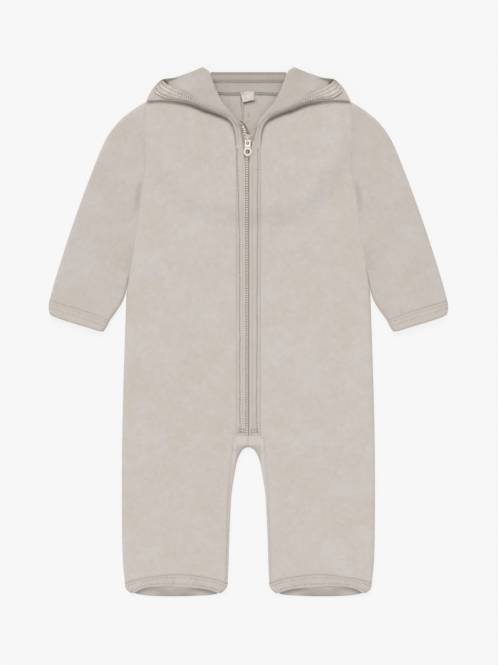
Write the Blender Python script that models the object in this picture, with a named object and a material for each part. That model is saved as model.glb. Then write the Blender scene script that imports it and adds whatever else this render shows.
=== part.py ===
"""Fleece overall for a baby, laid out flat on its back on a table.

+X is to the right as the garment is looked down on, +Y runs up to the hood and
+Z points up from the table. Sizes are in millimetres and become metres when a
mesh is made. The tables hold the right-hand half, and the left-hand half is the
same shape with x turned over.
"""
import math
from typing import NamedTuple

import bpy
import numpy as np
from mathutils import Matrix, Vector

MM = 0.001

# Cloth and how it lies
WALL = 2.4            # thickness of the fleece
BAND_WALL = 1.4       # thickness of the thinner bands
BODY_HEIGHT = 8.2     # front and back lying on each other, outside to outside
MIDDLE = BODY_HEIGHT / 2
SEAM = 0.3            # gap that parts two pieces at a seam
CURVED_SEAM = 0.5     # the same where both edges curve
EDGE_ROLL = 5.0       # how far in from an edge the cloth rounds over
PANEL_WIDTH = 122.0   # a front or back, across the chest
SLEEVE_WIDTH = 90.0
CUFF_WIDTH = 70.0
HEM_WIDTH = 114.0
NECK_SHARE = 0.5      # share of a panel's width that ends at the neck
SHOULDER_FULLNESS = 0.62    # thickness at the shoulder seam, as a share of the full one
SLEEVE_GAP = 0.7      # from a sleeve to the side seam that it lies along
SLEEVE_CLOSES = 0.3   # last share of the sleeve, where that gap closes to nothing

# Hood folded down behind the back
CROWN_HEIGHT = 4.7
LIFT = CROWN_HEIGHT + SEAM
LIFT_START = -35.0    # distance from the folded hood where the cloth starts to rise
LIFT_RUN = 28.0
HOOD_FOLD_RADIUS = 3.1
HOOD_SIDE_TOP = 17.0  # top of the hood side where it lies over the front
HOOD_SIDE_DROP = 8.0  # how far it falls to the table past the shoulder
HOOD_TURN_UNDER = 9.0 # the under layer where it ends inside the fold
HOOD_FALL_START = 46.0      # x where the hood side starts to fall past the shoulder
HOOD_FALL_WIDTH = 24.0
HOOD_FALL_LENGTH = 16.0
HOOD_NECK_GAP = 1.0   # from the end of the under layer to the front's neck edge
HOOD_BAND_GAP = 1.0   # from the hood side to the band that lies on it
HOOD_BAND_CREST = 0.5
HOOD_BACK_HALF = 43.0
HOOD_BAND_BACK_HALF = 42.6
NAPE_TOP = LIFT + WALL      # top of the hood's inside behind the neck

# Zip, with heights measured from the lifted cloth
ZIP_TOP = 234.0
ZIP_BOTTOM = -115.7
ZIP_EDGE = 13.5       # outer edge of the zip facings
FRONT_EDGE = ZIP_EDGE + SEAM
FRONT_EDGE_START = -100.0   # where the front's edge has come up out of the gusset
FACING_WALL = 1.8
UNDERLAP_TOP = 3.7
UNDERLAP_WALL = 1.0
TAPE_TOP = 5.7
TAPE_WALL = 0.7
CHAIN_TOP = 7.2
CHAIN_WALL = 1.0
HIDDEN_CHAIN_TOP = 6.7
HIDDEN_CHAIN_WALL = 0.7
SLIDER_X = -0.8
SLIDER_Y = 218.6      # middle of the slider
SLIDER_LENGTH = 9.2
SLIDER_WIDTH = 7.0
SLIDER_LOW = (4.0, 4.7)     # bottom and top of its back plate
SLIDER_HIGH = (7.5, 8.5)    # bottom and top of its front plate
POST_WIDTH = 1.5
POST_FROM_TOP = (3.2, 1.0)  # lower and upper side of the post, down from the slider's top end
NOSE_INSET = 0.01     # keeps the round end's side clear of the plate's flat side
OVERLAP = 0.1         # how far pieces that are joined run into each other
BOSS_FROM_TOP = 2.6
BOSS_RADIUS = 2.4
BOSS_LENGTH = 1.0
BOSS_MIDDLE = SLIDER_HIGH[1] + 0.3
DIP_RADIUS = 1.3
BRIDGE_WIDTH = 1.5
BRIDGE_THICKNESS = 1.0
BRIDGE_REACH = 3.5    # from the pull's axis to the outside of a bridge leg
BRIDGE_PLAY = 0.3     # room over the pull's bar
PULL_AXIS_Y = 215.4
PULL_AXIS_Z = 10.2
PULL_LENGTH = 17.0
PULL_THICKNESS = 1.4
PULL_WIDTH = 6.4
PULL_RING = 4.75      # radius of the ring at its end
PULL_HOLE = 2.6
RIDGE_FROM_AXIS = (6.4, 5.2)    # the ridge across the tab, down from the axis
RIDGE_HEIGHT = 0.4
RIDGE_INSET = 0.4
WINDOW_WIDTH = 2.9
WINDOW_LENGTH = 3.6

# Neck label, left bare
LABEL_WALL = 0.6


class Point(NamedTuple):
    """A point on an outline, seen from above."""
    x: float
    y: float


class EdgeRow(NamedTuple):
    """One row of a strip: its inner and outer edge."""
    inner_x: float
    inner_y: float
    outer_x: float
    outer_y: float


class Layer(NamedTuple):
    """One ring up the side of the folded hood: its inset from the outline, its height."""
    inset: float
    height: float


class Section(NamedTuple):
    """A point of the hood's section behind the neck: its y, and its rise above the nape."""
    y: float
    rise: float


class Column(NamedTuple):
    """One column of a strip: its share of the width, and how far its top stands up."""
    share: float
    hump: float


class Roll(NamedTuple):
    """One step of a rounded edge, from the rim inwards."""
    inward: float   # share of EDGE_ROLL
    height: float   # share of the half thickness


class Level(NamedTuple):
    """One row across a body panel: its y on the inner and the outer side."""
    inner_y: float
    outer_y: float


ROLL = [Roll(0.0, 0.0), Roll(0.07, 0.37), Roll(0.3, 0.71), Roll(0.65, 0.94), Roll(1.0, 1.0)]

SIDE_SEAM = [Point(139.6, -283), Point(142.5, -245), Point(143.0, -150), Point(141.6, -70),
             Point(138.4, 28), Point(136.5, 55), Point(127.1, 107), Point(120.9, 158.9)]
ARMHOLE = [Point(120.9, 158.9), Point(117.4, 177), Point(116.5, 205), Point(116.8, 240),
           Point(114.7, 260.6)]
SHOULDER = [Point(64.4, 273.0), Point(114.7, 260.6)]
FRONT_NECK = [Point(FRONT_EDGE, ZIP_TOP), Point(22.6, 245.9), Point(37.9, 256.1), Point(53.7, 265.1),
              Point(64.4, 273.0)]
BACK_NECK = [Point(0.0, 269.6), Point(31.6, 269.6), Point(46.0, 269.7), Point(56.0, 270.8),
             Point(64.4, 273.0)]
GUSSET = [EdgeRow(26.6, -283, 23.5, -283), EdgeRow(25.9, -262, 22.5, -262),
          EdgeRow(25.4, -240, 21.9, -240), EdgeRow(25.1, -212, 20.7, -212),
          EdgeRow(24.3, -185, 19.3, -185), EdgeRow(22.2, -163, 16.2, -163),
          EdgeRow(19.9, -145, 12.7, -145), EdgeRow(18.5, -134, 9.4, -137),
          EdgeRow(17.6, -122.5, 6.6, -132.6), EdgeRow(13.7, ZIP_BOTTOM, 3.6, -130.6),
          EdgeRow(7.0, ZIP_BOTTOM, 1.6, -129.9), EdgeRow(SEAM / 2, ZIP_BOTTOM, SEAM / 2, -129.8)]

HEM_INNER = Point(23.4, -283)         # where a hem's seam meets the inside of the leg
FRONT_HEM_SEAM = [Point(26.6, -283), Point(45, -277.2), Point(80.8, -273.3),
                  Point(118.2, -277.5), Point(139.6, -283)]
FRONT_HEM_EDGE = [Point(28.2, -292.6), Point(50.5, -290.4), Point(81, -286.2),
                  Point(116.4, -288.1), Point(137.0, -292.6)]
BACK_HEM_SEAM = [Point(26.6, -283), Point(50, -286), Point(81, -287.2), Point(118, -286),
                 Point(139.6, -283)]
BACK_HEM_EDGE = [Point(28.2, -292.6), Point(50, -297.3), Point(81, -298.4),
                 Point(116.4, -297.2), Point(137.0, -292.6)]

SLEEVE_TOP = [Point(114.7, 260.6), Point(131.6, 250.4), Point(147.5, 236.8),
              Point(162.2, 215.4), Point(179.1, 174.7), Point(198.9, 120.5),
              Point(216.4, 66.2), Point(224.8, 36.2)]
SLEEVE_UNDER = [Point(120.9, 158.9), Point(127.1, 107), Point(136.5, 55), Point(141.2, 37.5),
                Point(148.6, 24.8), Point(156.8, 13.6)]
CUFF_SEAM = [Point(156.8, 13.6), Point(186.0, 24.6), Point(224.8, 36.2)]
CUFF_EDGE = [Point(161.6, -0.4), Point(193.0, 8.2), Point(225.9, 20.4)]

CROWN_OUTLINE = [Point(0, 289.0), Point(32, 288.9), Point(43.5, 288.9), Point(54, 293.4),
                 Point(72, 288.2), Point(92, 281.6), Point(102, 273), Point(106, 262),
                 Point(103, 246), Point(91, 208), Point(70, 174), Point(38, 154),
                 Point(0, 150)]

HOOD_FOLD = [Point(9.5, 236.0), Point(15.0, 243.2), Point(22.5, 251.5), Point(29.4, 260.0),
             Point(36.2, 273.5), Point(40.5, 284.6), Point(44.4, 293.8), Point(50.8, 298.4)]
HOOD_OUTER = [Point(15.4, 231.5), Point(24.5, 241.2), Point(36.0, 246.4), Point(49.0, 251.4),
              Point(63.0, 256.8), Point(80.0, 260.2), Point(98.0, 261.2), Point(114.5, 260.4)]
HOOD_TOP = [Point(50.8, 298.4), Point(70.7, 291.7), Point(84.0, 287.4), Point(96.7, 285.6),
            Point(104.9, 278.5), Point(109.4, 271.8), Point(114.5, 260.4)]
HOOD_BAND = [EdgeRow(15.3, 234.8, 15.5, 232.2), EdgeRow(23.4, 243.9, 24.9, 242.0),
             EdgeRow(32.2, 248.2, 34.2, 246.4), EdgeRow(46.3, 254.2, 48.4, 252.0),
             EdgeRow(61.5, 261.2, 63.6, 258.0), EdgeRow(76.6, 269.9, 80.0, 261.5),
             EdgeRow(84.6, 274.8, 93.6, 262.8), EdgeRow(92.4, 280.6, 104.0, 268.6),
             EdgeRow(96.3, 284.4, 106.0, 274.2)]

CROWN_LAYERS = [Layer(1.4, 0.0), Layer(0.4, 0.5), Layer(0.0, 1.4), Layer(0.5, 2.2),
                Layer(0.5, 2.5), Layer(0.0, 3.2), Layer(1.2, 4.1), Layer(4.0, CROWN_HEIGHT)]
HOOD_BACK_SECTION = [Section(270.2, 0.0), Section(277.0, 0.1), Section(283.0, 0.5),
                     Section(286.6, 0.4), Section(288.9, -0.4), Section(290.8, -1.8),
                     Section(292.0, -3.6), Section(292.4, -5.6)]
BAND_FROM = 2         # the row of that section where the band starts
HOOD_UPPER_SHARES = [1.0, 0.97, 0.85, 0.68, 0.5, 0.32, 0.16]
HOOD_UNDER_SHARES = [0.5, 1.0]
HOOD_TURNS = [90, 50, 18, -18, -50, -90]      # degrees round the inner fold

# The zip's strips on the right and on the left, from the bottom to the top
FACING_RIGHT = [EdgeRow(0.6, ZIP_BOTTOM, ZIP_EDGE, ZIP_BOTTOM), EdgeRow(0.6, 60, ZIP_EDGE, 60),
                EdgeRow(0.6, 186, ZIP_EDGE, 186), EdgeRow(1.6, 199, ZIP_EDGE, 199),
                EdgeRow(3.6, 212, ZIP_EDGE, 212), EdgeRow(4.0, 220, ZIP_EDGE, 221),
                EdgeRow(6.0, 228, ZIP_EDGE, 228), EdgeRow(9.0, 233.6, ZIP_EDGE, 233.0)]
FACING_LEFT = [EdgeRow(3.9, ZIP_BOTTOM, ZIP_EDGE, ZIP_BOTTOM), EdgeRow(3.9, 60, ZIP_EDGE, 60),
               EdgeRow(3.9, 186, ZIP_EDGE, 186), EdgeRow(4.5, 199, ZIP_EDGE, 199),
               EdgeRow(5.8, 212, ZIP_EDGE, 212), EdgeRow(6.1, 220, ZIP_EDGE, 221),
               EdgeRow(7.0, 228, ZIP_EDGE, 228), EdgeRow(9.0, 233.6, ZIP_EDGE, 233.0)]
TAPE_RIGHT = [EdgeRow(0.4, ZIP_BOTTOM, 11.0, ZIP_BOTTOM), EdgeRow(0.4, 150, 11.0, 150),
              EdgeRow(0.4, 213, 11.0, 213), EdgeRow(0.6, 216.5, 11.0, 217),
              EdgeRow(1.4, 223.5, 11.0, 223.5), EdgeRow(4.2, 229, 11.0, 228)]
TAPE_LEFT = [EdgeRow(-0.1, ZIP_BOTTOM, 11.0, ZIP_BOTTOM), EdgeRow(-0.1, 150, 11.0, 150),
             EdgeRow(-0.1, 212.6, 11.0, 213), EdgeRow(2.2, 217.0, 11.0, 217),
             EdgeRow(2.4, 223.5, 11.0, 223.5), EdgeRow(4.0, 230, 11.0, 230),
             EdgeRow(7.8, 235.5, 11.0, 233.5)]
CHAIN_RIGHT = [EdgeRow(0.4, ZIP_BOTTOM, 3.0, ZIP_BOTTOM), EdgeRow(0.4, 150, 3.0, 150),
               EdgeRow(0.4, 213, 3.0, 213), EdgeRow(0.6, 216.5, 3.2, 216.8),
               EdgeRow(1.4, 223.5, 3.4, 223.0)]
CHAIN_LEFT = [EdgeRow(0.0, ZIP_BOTTOM, 3.3, ZIP_BOTTOM), EdgeRow(0.0, 150, 3.3, 150),
              EdgeRow(0.0, 212.6, 3.3, 213), EdgeRow(2.2, 217.0, 4.6, 216.8),
              EdgeRow(2.4, 223.5, 5.2, 223.5), EdgeRow(4.0, 229.5, 6.4, 228.8),
              EdgeRow(6.6, 234.2, 8.1, 232.4)]
UNDERLAP = [EdgeRow(-7.0, 190, 4.5, 190), EdgeRow(-7.5, 214, 4.2, 214),
            EdgeRow(-9.5, 224, 2.2, 226), EdgeRow(-12.0, 231, -1.0, 233.5),
            EdgeRow(-13.0, 236, -6.5, 240.5)]
LABEL = [EdgeRow(-6.2, 259.6, 6.6, 262.4), EdgeRow(-9.0, 271.2, 6.6, 272.4)]

FACING_RIGHT_COLUMNS = [Column(0.0, 0.6), Column(0.05, 1.0), Column(0.2, 1.0), Column(0.4, 0.3),
                        Column(0.93, 0.0), Column(1.0, -0.3)]
FACING_LEFT_COLUMNS = [Column(0.0, -0.3), Column(0.07, 0.0), Column(0.93, 0.0),
                       Column(1.0, -0.3)]
CHAIN_COLUMNS = [Column(0.0, -0.2), Column(0.2, 0.0), Column(0.8, 0.0), Column(1.0, -0.2)]
FLAT_COLUMNS = [Column(0.0, 0.0), Column(1.0, 0.0)]
WIDE_COLUMNS = [Column(0.0, 0.0), Column(0.5, 0.0), Column(1.0, 0.0)]

ZIP_LEVELS = [50, 76, 92, 104, 114, 124, 134, 146, 186, 199, 206, 212.5, 217,
              220, 223.5, 226, 229, 231.5]

BODY_COLUMNS = [0.0, 0.07, 0.16, 0.3, 0.5, 0.66, 0.8, 0.9]
GUSSET_COLUMNS = [1.0, 0.6, 0.3, 0.12, 0.03]      # from the inner edge to the outer
BODY_LEVELS = [Level(-283, -283), Level(-262, -262), Level(-240, -240), Level(-212, -212),
               Level(-185, -185), Level(-163, -163), Level(-145, -145), Level(-134, -134),
               Level(-122.5, -124), Level(ZIP_BOTTOM, -117),
               Level(ZIP_BOTTOM + CURVED_SEAM, -110), Level(-95, -88),
               Level(-55, -50), Level(-15, -10), Level(25, 32), Level(60, 72),
               Level(90, 104), Level(112, 126), Level(128, 143), Level(142, 158.9),
               Level(152, 170), Level(163, 182), Level(177, 198), Level(193, 216),
               Level(209, 234), Level(222, 249), Level(ZIP_TOP, 260.6)]
ARMPIT_LEVEL = 19                     # the row that ends at the armpit


def as_array(rows):
    """Turn a table of rows into an array."""
    return np.array([tuple(row) for row in rows], dtype=float)


def dense(points, steps=16):
    """Points along a smooth curve (Catmull-Rom) through every row of a table."""
    knots = as_array(points)
    first = 2 * knots[0] - knots[1]
    last = 2 * knots[-1] - knots[-2]
    padded = np.vstack([first, knots, last])
    share = np.linspace(0, 1, steps, endpoint=False)[:, None]
    spans = []
    for index in range(len(knots) - 1):
        before, start, end, after = padded[index:index + 4]
        bend = 2 * before - 5 * start + 4 * end - after
        twist = 3 * start - before - 3 * end + after
        spans.append(start + 0.5 * share * (end - before + share * (bend + share * twist)))
    return np.vstack(spans + [knots[-1:]])


def lengths(line):
    """Distance along a line of points, from 0 at its start."""
    return np.concatenate([[0.0], np.cumsum(np.linalg.norm(np.diff(line, axis=0), axis=1))])


def along(line, shares):
    """Points on a line at the given shares of its length."""
    run = lengths(line)
    at = np.asarray(shares) * run[-1]
    return np.stack([np.interp(at, run, column) for column in line.T], axis=1)


def x_at(line, y):
    """The x of a line that runs up, at the given y."""
    order = np.argsort(line[:, 1], kind="stable")
    return np.interp(y, line[order, 1], line[order, 0])


def distance(points, line):
    """Shortest distance from each point to a line of points."""
    start = line[:-1]
    step = line[1:] - start
    offset = points[..., None, :] - start
    share = (offset * step).sum(-1) / np.maximum((step * step).sum(-1), 1e-9)
    nearest = np.clip(share, 0, 1)[..., None] * step
    return np.linalg.norm(offset - nearest, axis=-1).min(-1)


def inside(points, ring):
    """Whether each point lies inside a closed ring, by counting crossings."""
    start = ring
    end = np.roll(ring, -1, axis=0)
    x = points[..., 0][..., None]
    y = points[..., 1][..., None]
    spans = (start[:, 1] > y) != (end[:, 1] > y)
    rise = np.where(end[:, 1] == start[:, 1], 1.0, end[:, 1] - start[:, 1])
    crossing = start[:, 0] + (y - start[:, 1]) * (end[:, 0] - start[:, 0]) / rise
    return (spans & (x < crossing)).sum(-1) % 2 == 1


def smoothstep(value):
    """Ease from 0 to 1 with flat ends."""
    share = np.clip(value, 0, 1)
    return share * share * (3 - 2 * share)


def rounded(share):
    """Height of a round edge: 0 at the rim, 1 past one roll."""
    return np.sqrt(1 - (1 - np.clip(share, 0, 1)) ** 2)


def crown_ring():
    """The whole outline of the folded hood, both halves."""
    half = dense(CROWN_OUTLINE, steps=2)
    other = half[-2:0:-1] * [-1, 1]
    return np.vstack([half, other])


CROWN_RING = crown_ring()
ARCH_LINE = as_array(GUSSET)[:, 2:]
GUSSET_SEAM = as_array(GUSSET)[:-2, :2]


def lift(points):
    """How far the folded hood under the back raises the cloth above it."""
    closed = np.vstack([CROWN_RING, CROWN_RING[:1]])
    away = distance(points, closed)
    depth = np.where(inside(points, CROWN_RING), away, -away)
    return LIFT * smoothstep((depth - LIFT_START) / LIFT_RUN)


def coons(bottom, top, inner, outer, share_up, share_out):
    """Fill four edges with a grid: rows run up, columns run out."""
    up = share_up[:, None, None]
    out = share_out[None, :, None]
    sides = (1 - out) * inner[:, None] + out * outer[:, None]
    ends = (1 - up) * bottom[None] + up * top[None]
    corners = ((1 - up) * ((1 - out) * bottom[0] + out * bottom[-1])
               + up * ((1 - out) * top[0] + out * top[-1]))
    return sides + ends - corners


def with_height(plan, height):
    """Join a grid of plan points and a grid of heights."""
    return np.concatenate([plan, height[..., None]], axis=2)


def make_material(name, colour, roughness, metallic=0.0):
    """A plain finish for one kind of piece."""
    material = bpy.data.materials.new(name)
    material.use_nodes = True
    shader = material.node_tree.nodes["Principled BSDF"]
    shader.inputs["Base Color"].default_value = (*colour, 1.0)
    shader.inputs["Roughness"].default_value = roughness
    shader.inputs["Metallic"].default_value = metallic
    return material


def add_object(name, mesh, material):
    """Put a mesh in the garment's collection."""
    piece = bpy.data.objects.new(name, mesh)
    mesh.materials.append(material)
    GARMENT.objects.link(piece)
    return piece


def directions(steps, axis, ring):
    """Unit direction at each point of a grid, shared by the steps beside it."""
    steps = steps / np.maximum(np.linalg.norm(steps, axis=2, keepdims=True), 1e-9)
    if ring:
        return steps + np.roll(steps, 1, axis=axis)
    first = np.take(steps, [0], axis=axis)
    last = np.take(steps, [-1], axis=axis)
    return np.concatenate([first, steps], axis=axis) + np.concatenate([steps, last], axis=axis)


def outward(points, ring, level, upright):
    """Unit normals of a grid, turned level or upright where those are true."""
    across = np.diff(points, axis=1, append=points[:, :1]) if ring else np.diff(points, axis=1)
    out = directions(across, 1, ring)
    up = directions(np.diff(points, axis=0), 0, False)
    normals = np.cross(out, up)
    normals[level, 2] = 0.0
    normals[upright, :2] = 0.0
    return normals / np.linalg.norm(normals, axis=2, keepdims=True)


def cut_directions(ring_points):
    """Plan direction of the cut line at each point of a flat tube's end."""
    half = len(ring_points) // 2 + 1
    line = np.gradient(ring_points[:half, :2], axis=0)
    line = np.concatenate([line, line[-2:0:-1]])
    return line / np.linalg.norm(line, axis=1, keepdims=True)


def cut_square(ring_points, normals):
    """Keep the wall of a tube's end in the upright face along its cut line."""
    line = cut_directions(ring_points)
    aside = np.column_stack([-line[:, 1], line[:, 0], np.zeros(len(line))])
    steps = np.roll(ring_points, -1, axis=0) - ring_points
    steps /= np.linalg.norm(steps, axis=1, keepdims=True)
    square = np.cross(steps + np.roll(steps, 1, axis=0), aside)
    square /= np.linalg.norm(square, axis=1, keepdims=True)
    facing = np.sign((square * normals).sum())
    return square * facing


def cloth(name, grid, side, material, wall=WALL, ring=False, faces_up=True, probe=(0, 1),
          level=None, upright=None):
    """A wall of cloth inside a grid of outer points.

    side is 1 or -1, and -1 turns the grid over to the other half. ring joins the
    last column to the first. The face at probe tells which way is out. level and
    upright mark the points of an edge whose cut face lies flat or stands up.
    """
    points = grid * [side, 1, 1]
    nowhere = np.zeros(points.shape[:2], dtype=bool)
    level = nowhere if level is None else level
    upright = nowhere if upright is None else upright
    row, column = probe
    across = points[row, column + 1] - points[row, column]
    upward = points[row + 1, column] - points[row, column]
    if (np.cross(across, upward)[2] > 0) != faces_up:
        points = points[::-1]
        level = level[::-1]
        upright = upright[::-1]
    normals = outward(points, ring, level, upright)
    if ring:
        for end in (0, -1):
            normals[end] = cut_square(points[end], normals[end])
    inner = points - wall * normals
    rows, columns = points.shape[:2]
    number = np.arange(rows * columns).reshape(rows, columns)
    if ring:
        number = np.concatenate([number, number[:, :1]], axis=1)
    under = number + rows * columns

    def quads(one, other):
        """Faces between two rows of point numbers."""
        return np.stack([one[:-1], one[1:], other[1:], other[:-1]], axis=1).tolist()

    faces = []
    for low, high in zip(number[:-1], number[1:]):
        faces += quads(low, high)
    for low, high in zip(under[:-1], under[1:]):
        faces += quads(high, low)
    faces += quads(under[0], number[0])
    faces += quads(number[-1], under[-1])
    if not ring:
        faces += quads(number[:, 0], under[:, 0])
        faces += quads(under[:, -1], number[:, -1])
    mesh = bpy.data.meshes.new(name)
    vertices = np.concatenate([points.reshape(-1, 3), inner.reshape(-1, 3)]) * MM
    mesh.from_pydata(vertices.tolist(), [], faces)
    mesh.shade_smooth()
    mesh.set_sharp_from_angle(angle=math.radians(50))
    return add_object(name, mesh, material)


def roll_columns(columns, share):
    """Columns of a panel whose outer side is rolled, with the height of each."""
    outs = [1 - roll.inward * share for roll in reversed(ROLL)]
    heights = [roll.height for roll in reversed(ROLL)]
    return np.array(columns + outs), np.array([1.0] * len(columns) + heights)


def body_plan(neck, hem_seam, inner_x, seam_gap):
    """Plan grid of a body panel, cut in one with its leg."""
    columns, heights = roll_columns(BODY_COLUMNS, EDGE_ROLL / PANEL_WIDTH)
    inner_y = np.array([level.inner_y for level in BODY_LEVELS])
    outer_y = np.array([level.outer_y for level in BODY_LEVELS])
    neck_line = dense(neck)
    top_y = neck_line[0, 1]
    inner_y = np.where(inner_y > 0, inner_y * top_y / ZIP_TOP, inner_y)
    side = np.vstack([dense(SIDE_SEAM), dense(ARMHOLE)[1:]])
    inner = np.stack([inner_x(inner_y), inner_y], axis=1)
    outer = np.stack([x_at(side, outer_y), outer_y], axis=1)
    at_neck = columns <= NECK_SHARE
    shoulder_shares = (columns[~at_neck] - NECK_SHARE) / (1 - NECK_SHARE)
    top = np.vstack([along(neck_line, columns[at_neck] / NECK_SHARE),
                     along(as_array(SHOULDER), shoulder_shares)])
    top[0, 0] = inner[-1, 0]
    bottom = along(dense(hem_seam), columns) + [0, seam_gap]
    bottom[0] = inner[0] + [0, seam_gap]
    inner[0] = bottom[0]
    outer[0] = bottom[-1]
    share_up = (outer_y - outer_y[0]) / (outer_y[-1] - outer_y[0])
    return coons(bottom, top, inner, outer, share_up, columns), heights


def body_shares(plan, heights):
    """Share of the half thickness at each point of a body panel."""
    rows = np.arange(len(plan))[:, None]
    share = np.where(rows <= ARMPIT_LEVEL, heights[None, :], 1.0)
    leg = rounded(distance(plan, ARCH_LINE) / EDGE_ROLL)
    from_shoulder = rounded(distance(plan, as_array(SHOULDER)) / EDGE_ROLL)
    shoulder = SHOULDER_FULLNESS + (1 - SHOULDER_FULLNESS) * from_shoulder
    return share * leg * shoulder


def panel_edges(share):
    """Which edge points of a body panel are rolled, and which are cut upright."""
    rolled = share == 0
    upright = np.zeros(share.shape, dtype=bool)
    upright[:, [0, -1]] = True
    upright[-1] = True
    return rolled, upright & ~rolled


def front_inner_x(y):
    """Inner edge of a front: the zip facing above, the gusset below."""
    above = as_array([Point(FRONT_EDGE, FRONT_EDGE_START), Point(FRONT_EDGE, ZIP_TOP)])
    return x_at(np.vstack([GUSSET_SEAM, above]), y) + SEAM


def back_inner_x(y):
    """Inner edge of a back: the centre seam above, the gusset below."""
    return np.where(y > ZIP_BOTTOM, SEAM / 2, x_at(GUSSET_SEAM, y) + SEAM)


def add_front(name, side, material):
    """A front with its leg."""
    plan, heights = body_plan(FRONT_NECK, FRONT_HEM_SEAM, front_inner_x, SEAM)
    share = body_shares(plan, heights)
    height = MIDDLE + SEAM / 2 + (MIDDLE - SEAM / 2) * share + lift(plan)
    level, upright = panel_edges(share)
    return cloth(name, with_height(plan, height), side, material, level=level, upright=upright)


def add_back(name, side, material):
    """A back with its leg, flat on the table below the folded hood."""
    plan, heights = body_plan(BACK_NECK, BACK_HEM_SEAM, back_inner_x, SEAM)
    share = body_shares(plan, heights)
    height = (MIDDLE - SEAM / 2) * (1 - share) + lift(plan)
    level, upright = panel_edges(share)
    return cloth(name, with_height(plan, height), side, material, faces_up=False,
                 level=level, upright=upright)


def flat_tube(front, back, share):
    """A flattened tube: the front grid, and the back grid run the other way."""
    high = MIDDLE + MIDDLE * share + lift(front)
    low = MIDDLE - MIDDLE * share + lift(back)
    upper = with_height(front, high)
    lower = with_height(back, low)[:, -2:0:-1]
    return np.concatenate([upper, lower], axis=1)


def tube_columns(columns, width):
    """Columns across a flattened tube that is rolled at both ends."""
    share = EDGE_ROLL / width
    first = [roll.inward * share for roll in ROLL]
    last = [1 - roll.inward * share for roll in reversed(ROLL)]
    heights = [roll.height for roll in ROLL]
    both = heights + [1.0] * len(columns) + heights[::-1]
    return np.array(first + columns + last), np.array(both)


def add_sleeve(name, side, material):
    """A sleeve, its seam lying along the body's side."""
    columns, heights = tube_columns([0.2, 0.4, 0.6, 0.8], SLEEVE_WIDTH)
    rows = np.linspace(0, 1, 14)
    seam_gap = np.array([CURVED_SEAM, 0])
    side_gap = np.array([SLEEVE_GAP, 0])
    armhole = along(dense(ARMHOLE), columns) + seam_gap
    cuff = along(dense(CUFF_SEAM), columns)
    beside = np.minimum(1, (1 - rows[:, None]) / SLEEVE_CLOSES)
    under = along(dense(SLEEVE_UNDER), rows) + side_gap * beside
    under[0] = armhole[0]
    over = along(dense(SLEEVE_TOP), rows) + seam_gap * beside
    plan = coons(armhole, cuff, under, over, rows, columns)
    share = np.broadcast_to(heights, plan.shape[:2])
    tube = flat_tube(plan, plan, share)
    return cloth(name, tube, side, material, ring=True, probe=(4, 6))


def add_cuff(name, side, material):
    """The band on the end of a sleeve."""
    columns, heights = tube_columns([0.25, 0.5, 0.75], CUFF_WIDTH)
    rows = np.linspace(0, 1, 3)
    seam = along(dense(CUFF_SEAM), columns) + [SEAM / 3, -CURVED_SEAM]
    edge = along(dense(CUFF_EDGE), columns)
    plan = seam[None] + rows[:, None, None] * (edge - seam)[None]
    share = np.broadcast_to(heights, plan.shape[:2])
    tube = flat_tube(plan, plan, share)
    return cloth(name, tube, side, material, ring=True, probe=(0, 5))


def add_hem(name, side, material):
    """The band on the end of a leg, longer at the back than at the front."""
    columns, heights = tube_columns([0.2, 0.4, 0.6, 0.8], HEM_WIDTH)
    rows = np.linspace(0, 1, 3)[:, None, None]

    def strip(seam, edge):
        """Grid between a seam line and an edge line."""
        start = along(dense([HEM_INNER] + seam), columns) - [0, SEAM]
        finish = along(dense(edge), columns)
        return start[None] + rows * (finish - start)[None]

    front = strip(FRONT_HEM_SEAM, FRONT_HEM_EDGE)
    back = strip(BACK_HEM_SEAM, BACK_HEM_EDGE)
    share = np.broadcast_to(heights, front.shape[:2])
    tube = flat_tube(front, back, share)
    return cloth(name, tube, side, material, ring=True, probe=(0, 5))


def add_gusset(name, side, material):
    """Half of the band round the crotch, on down the inside of the leg."""
    table = as_array(GUSSET)
    inner = table[:, :2] - np.where(table[:, 1:2] < ZIP_BOTTOM, 0.0, [0, SEAM / 2])
    outer = table[:, 2:]
    width = np.linalg.norm(inner - outer, axis=1)[:, None]
    shares = np.array(GUSSET_COLUMNS)
    upper = outer[:, None] + shares[None, :, None] * (inner - outer)[:, None]
    share = rounded(shares[None] * width / EDGE_ROLL)
    edge = with_height(outer[:, None], np.full((len(table), 1), MIDDLE))
    high = with_height(upper, MIDDLE + MIDDLE * share)
    low = with_height(upper, MIDDLE - MIDDLE * share)[:, ::-1]
    grid = np.concatenate([high, edge, low], axis=1)
    upright = np.zeros(grid.shape[:2], dtype=bool)
    upright[:, [0, -1]] = True
    return cloth(name, grid, side, material, probe=(0, 0), upright=upright)


def add_crown(name, material):
    """The folded rest of the hood: one rounded solid, layered at its edge."""
    centre = CROWN_RING.mean(axis=0)
    reach = np.linalg.norm(CROWN_RING - centre, axis=1)[:, None]
    rings = []
    for layer in CROWN_LAYERS:
        ring = centre + (CROWN_RING - centre) * (1 - layer.inset / reach)
        rings.append(np.column_stack([ring, np.full(len(ring), layer.height)]))
    points = np.stack(rings) * MM
    rows, columns = points.shape[:2]
    faces = [((i + 1) * columns + j, (i + 1) * columns + (j + 1) % columns,
              i * columns + (j + 1) % columns, i * columns + j)
             for i in range(rows - 1) for j in range(columns)]
    faces.append(tuple(range(columns)))
    faces.append(tuple(range((rows - 1) * columns, rows * columns))[::-1])
    mesh = bpy.data.meshes.new(name)
    mesh.from_pydata(points.reshape(-1, 3).tolist(), [], faces)
    return add_object(name, mesh, material)


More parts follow.
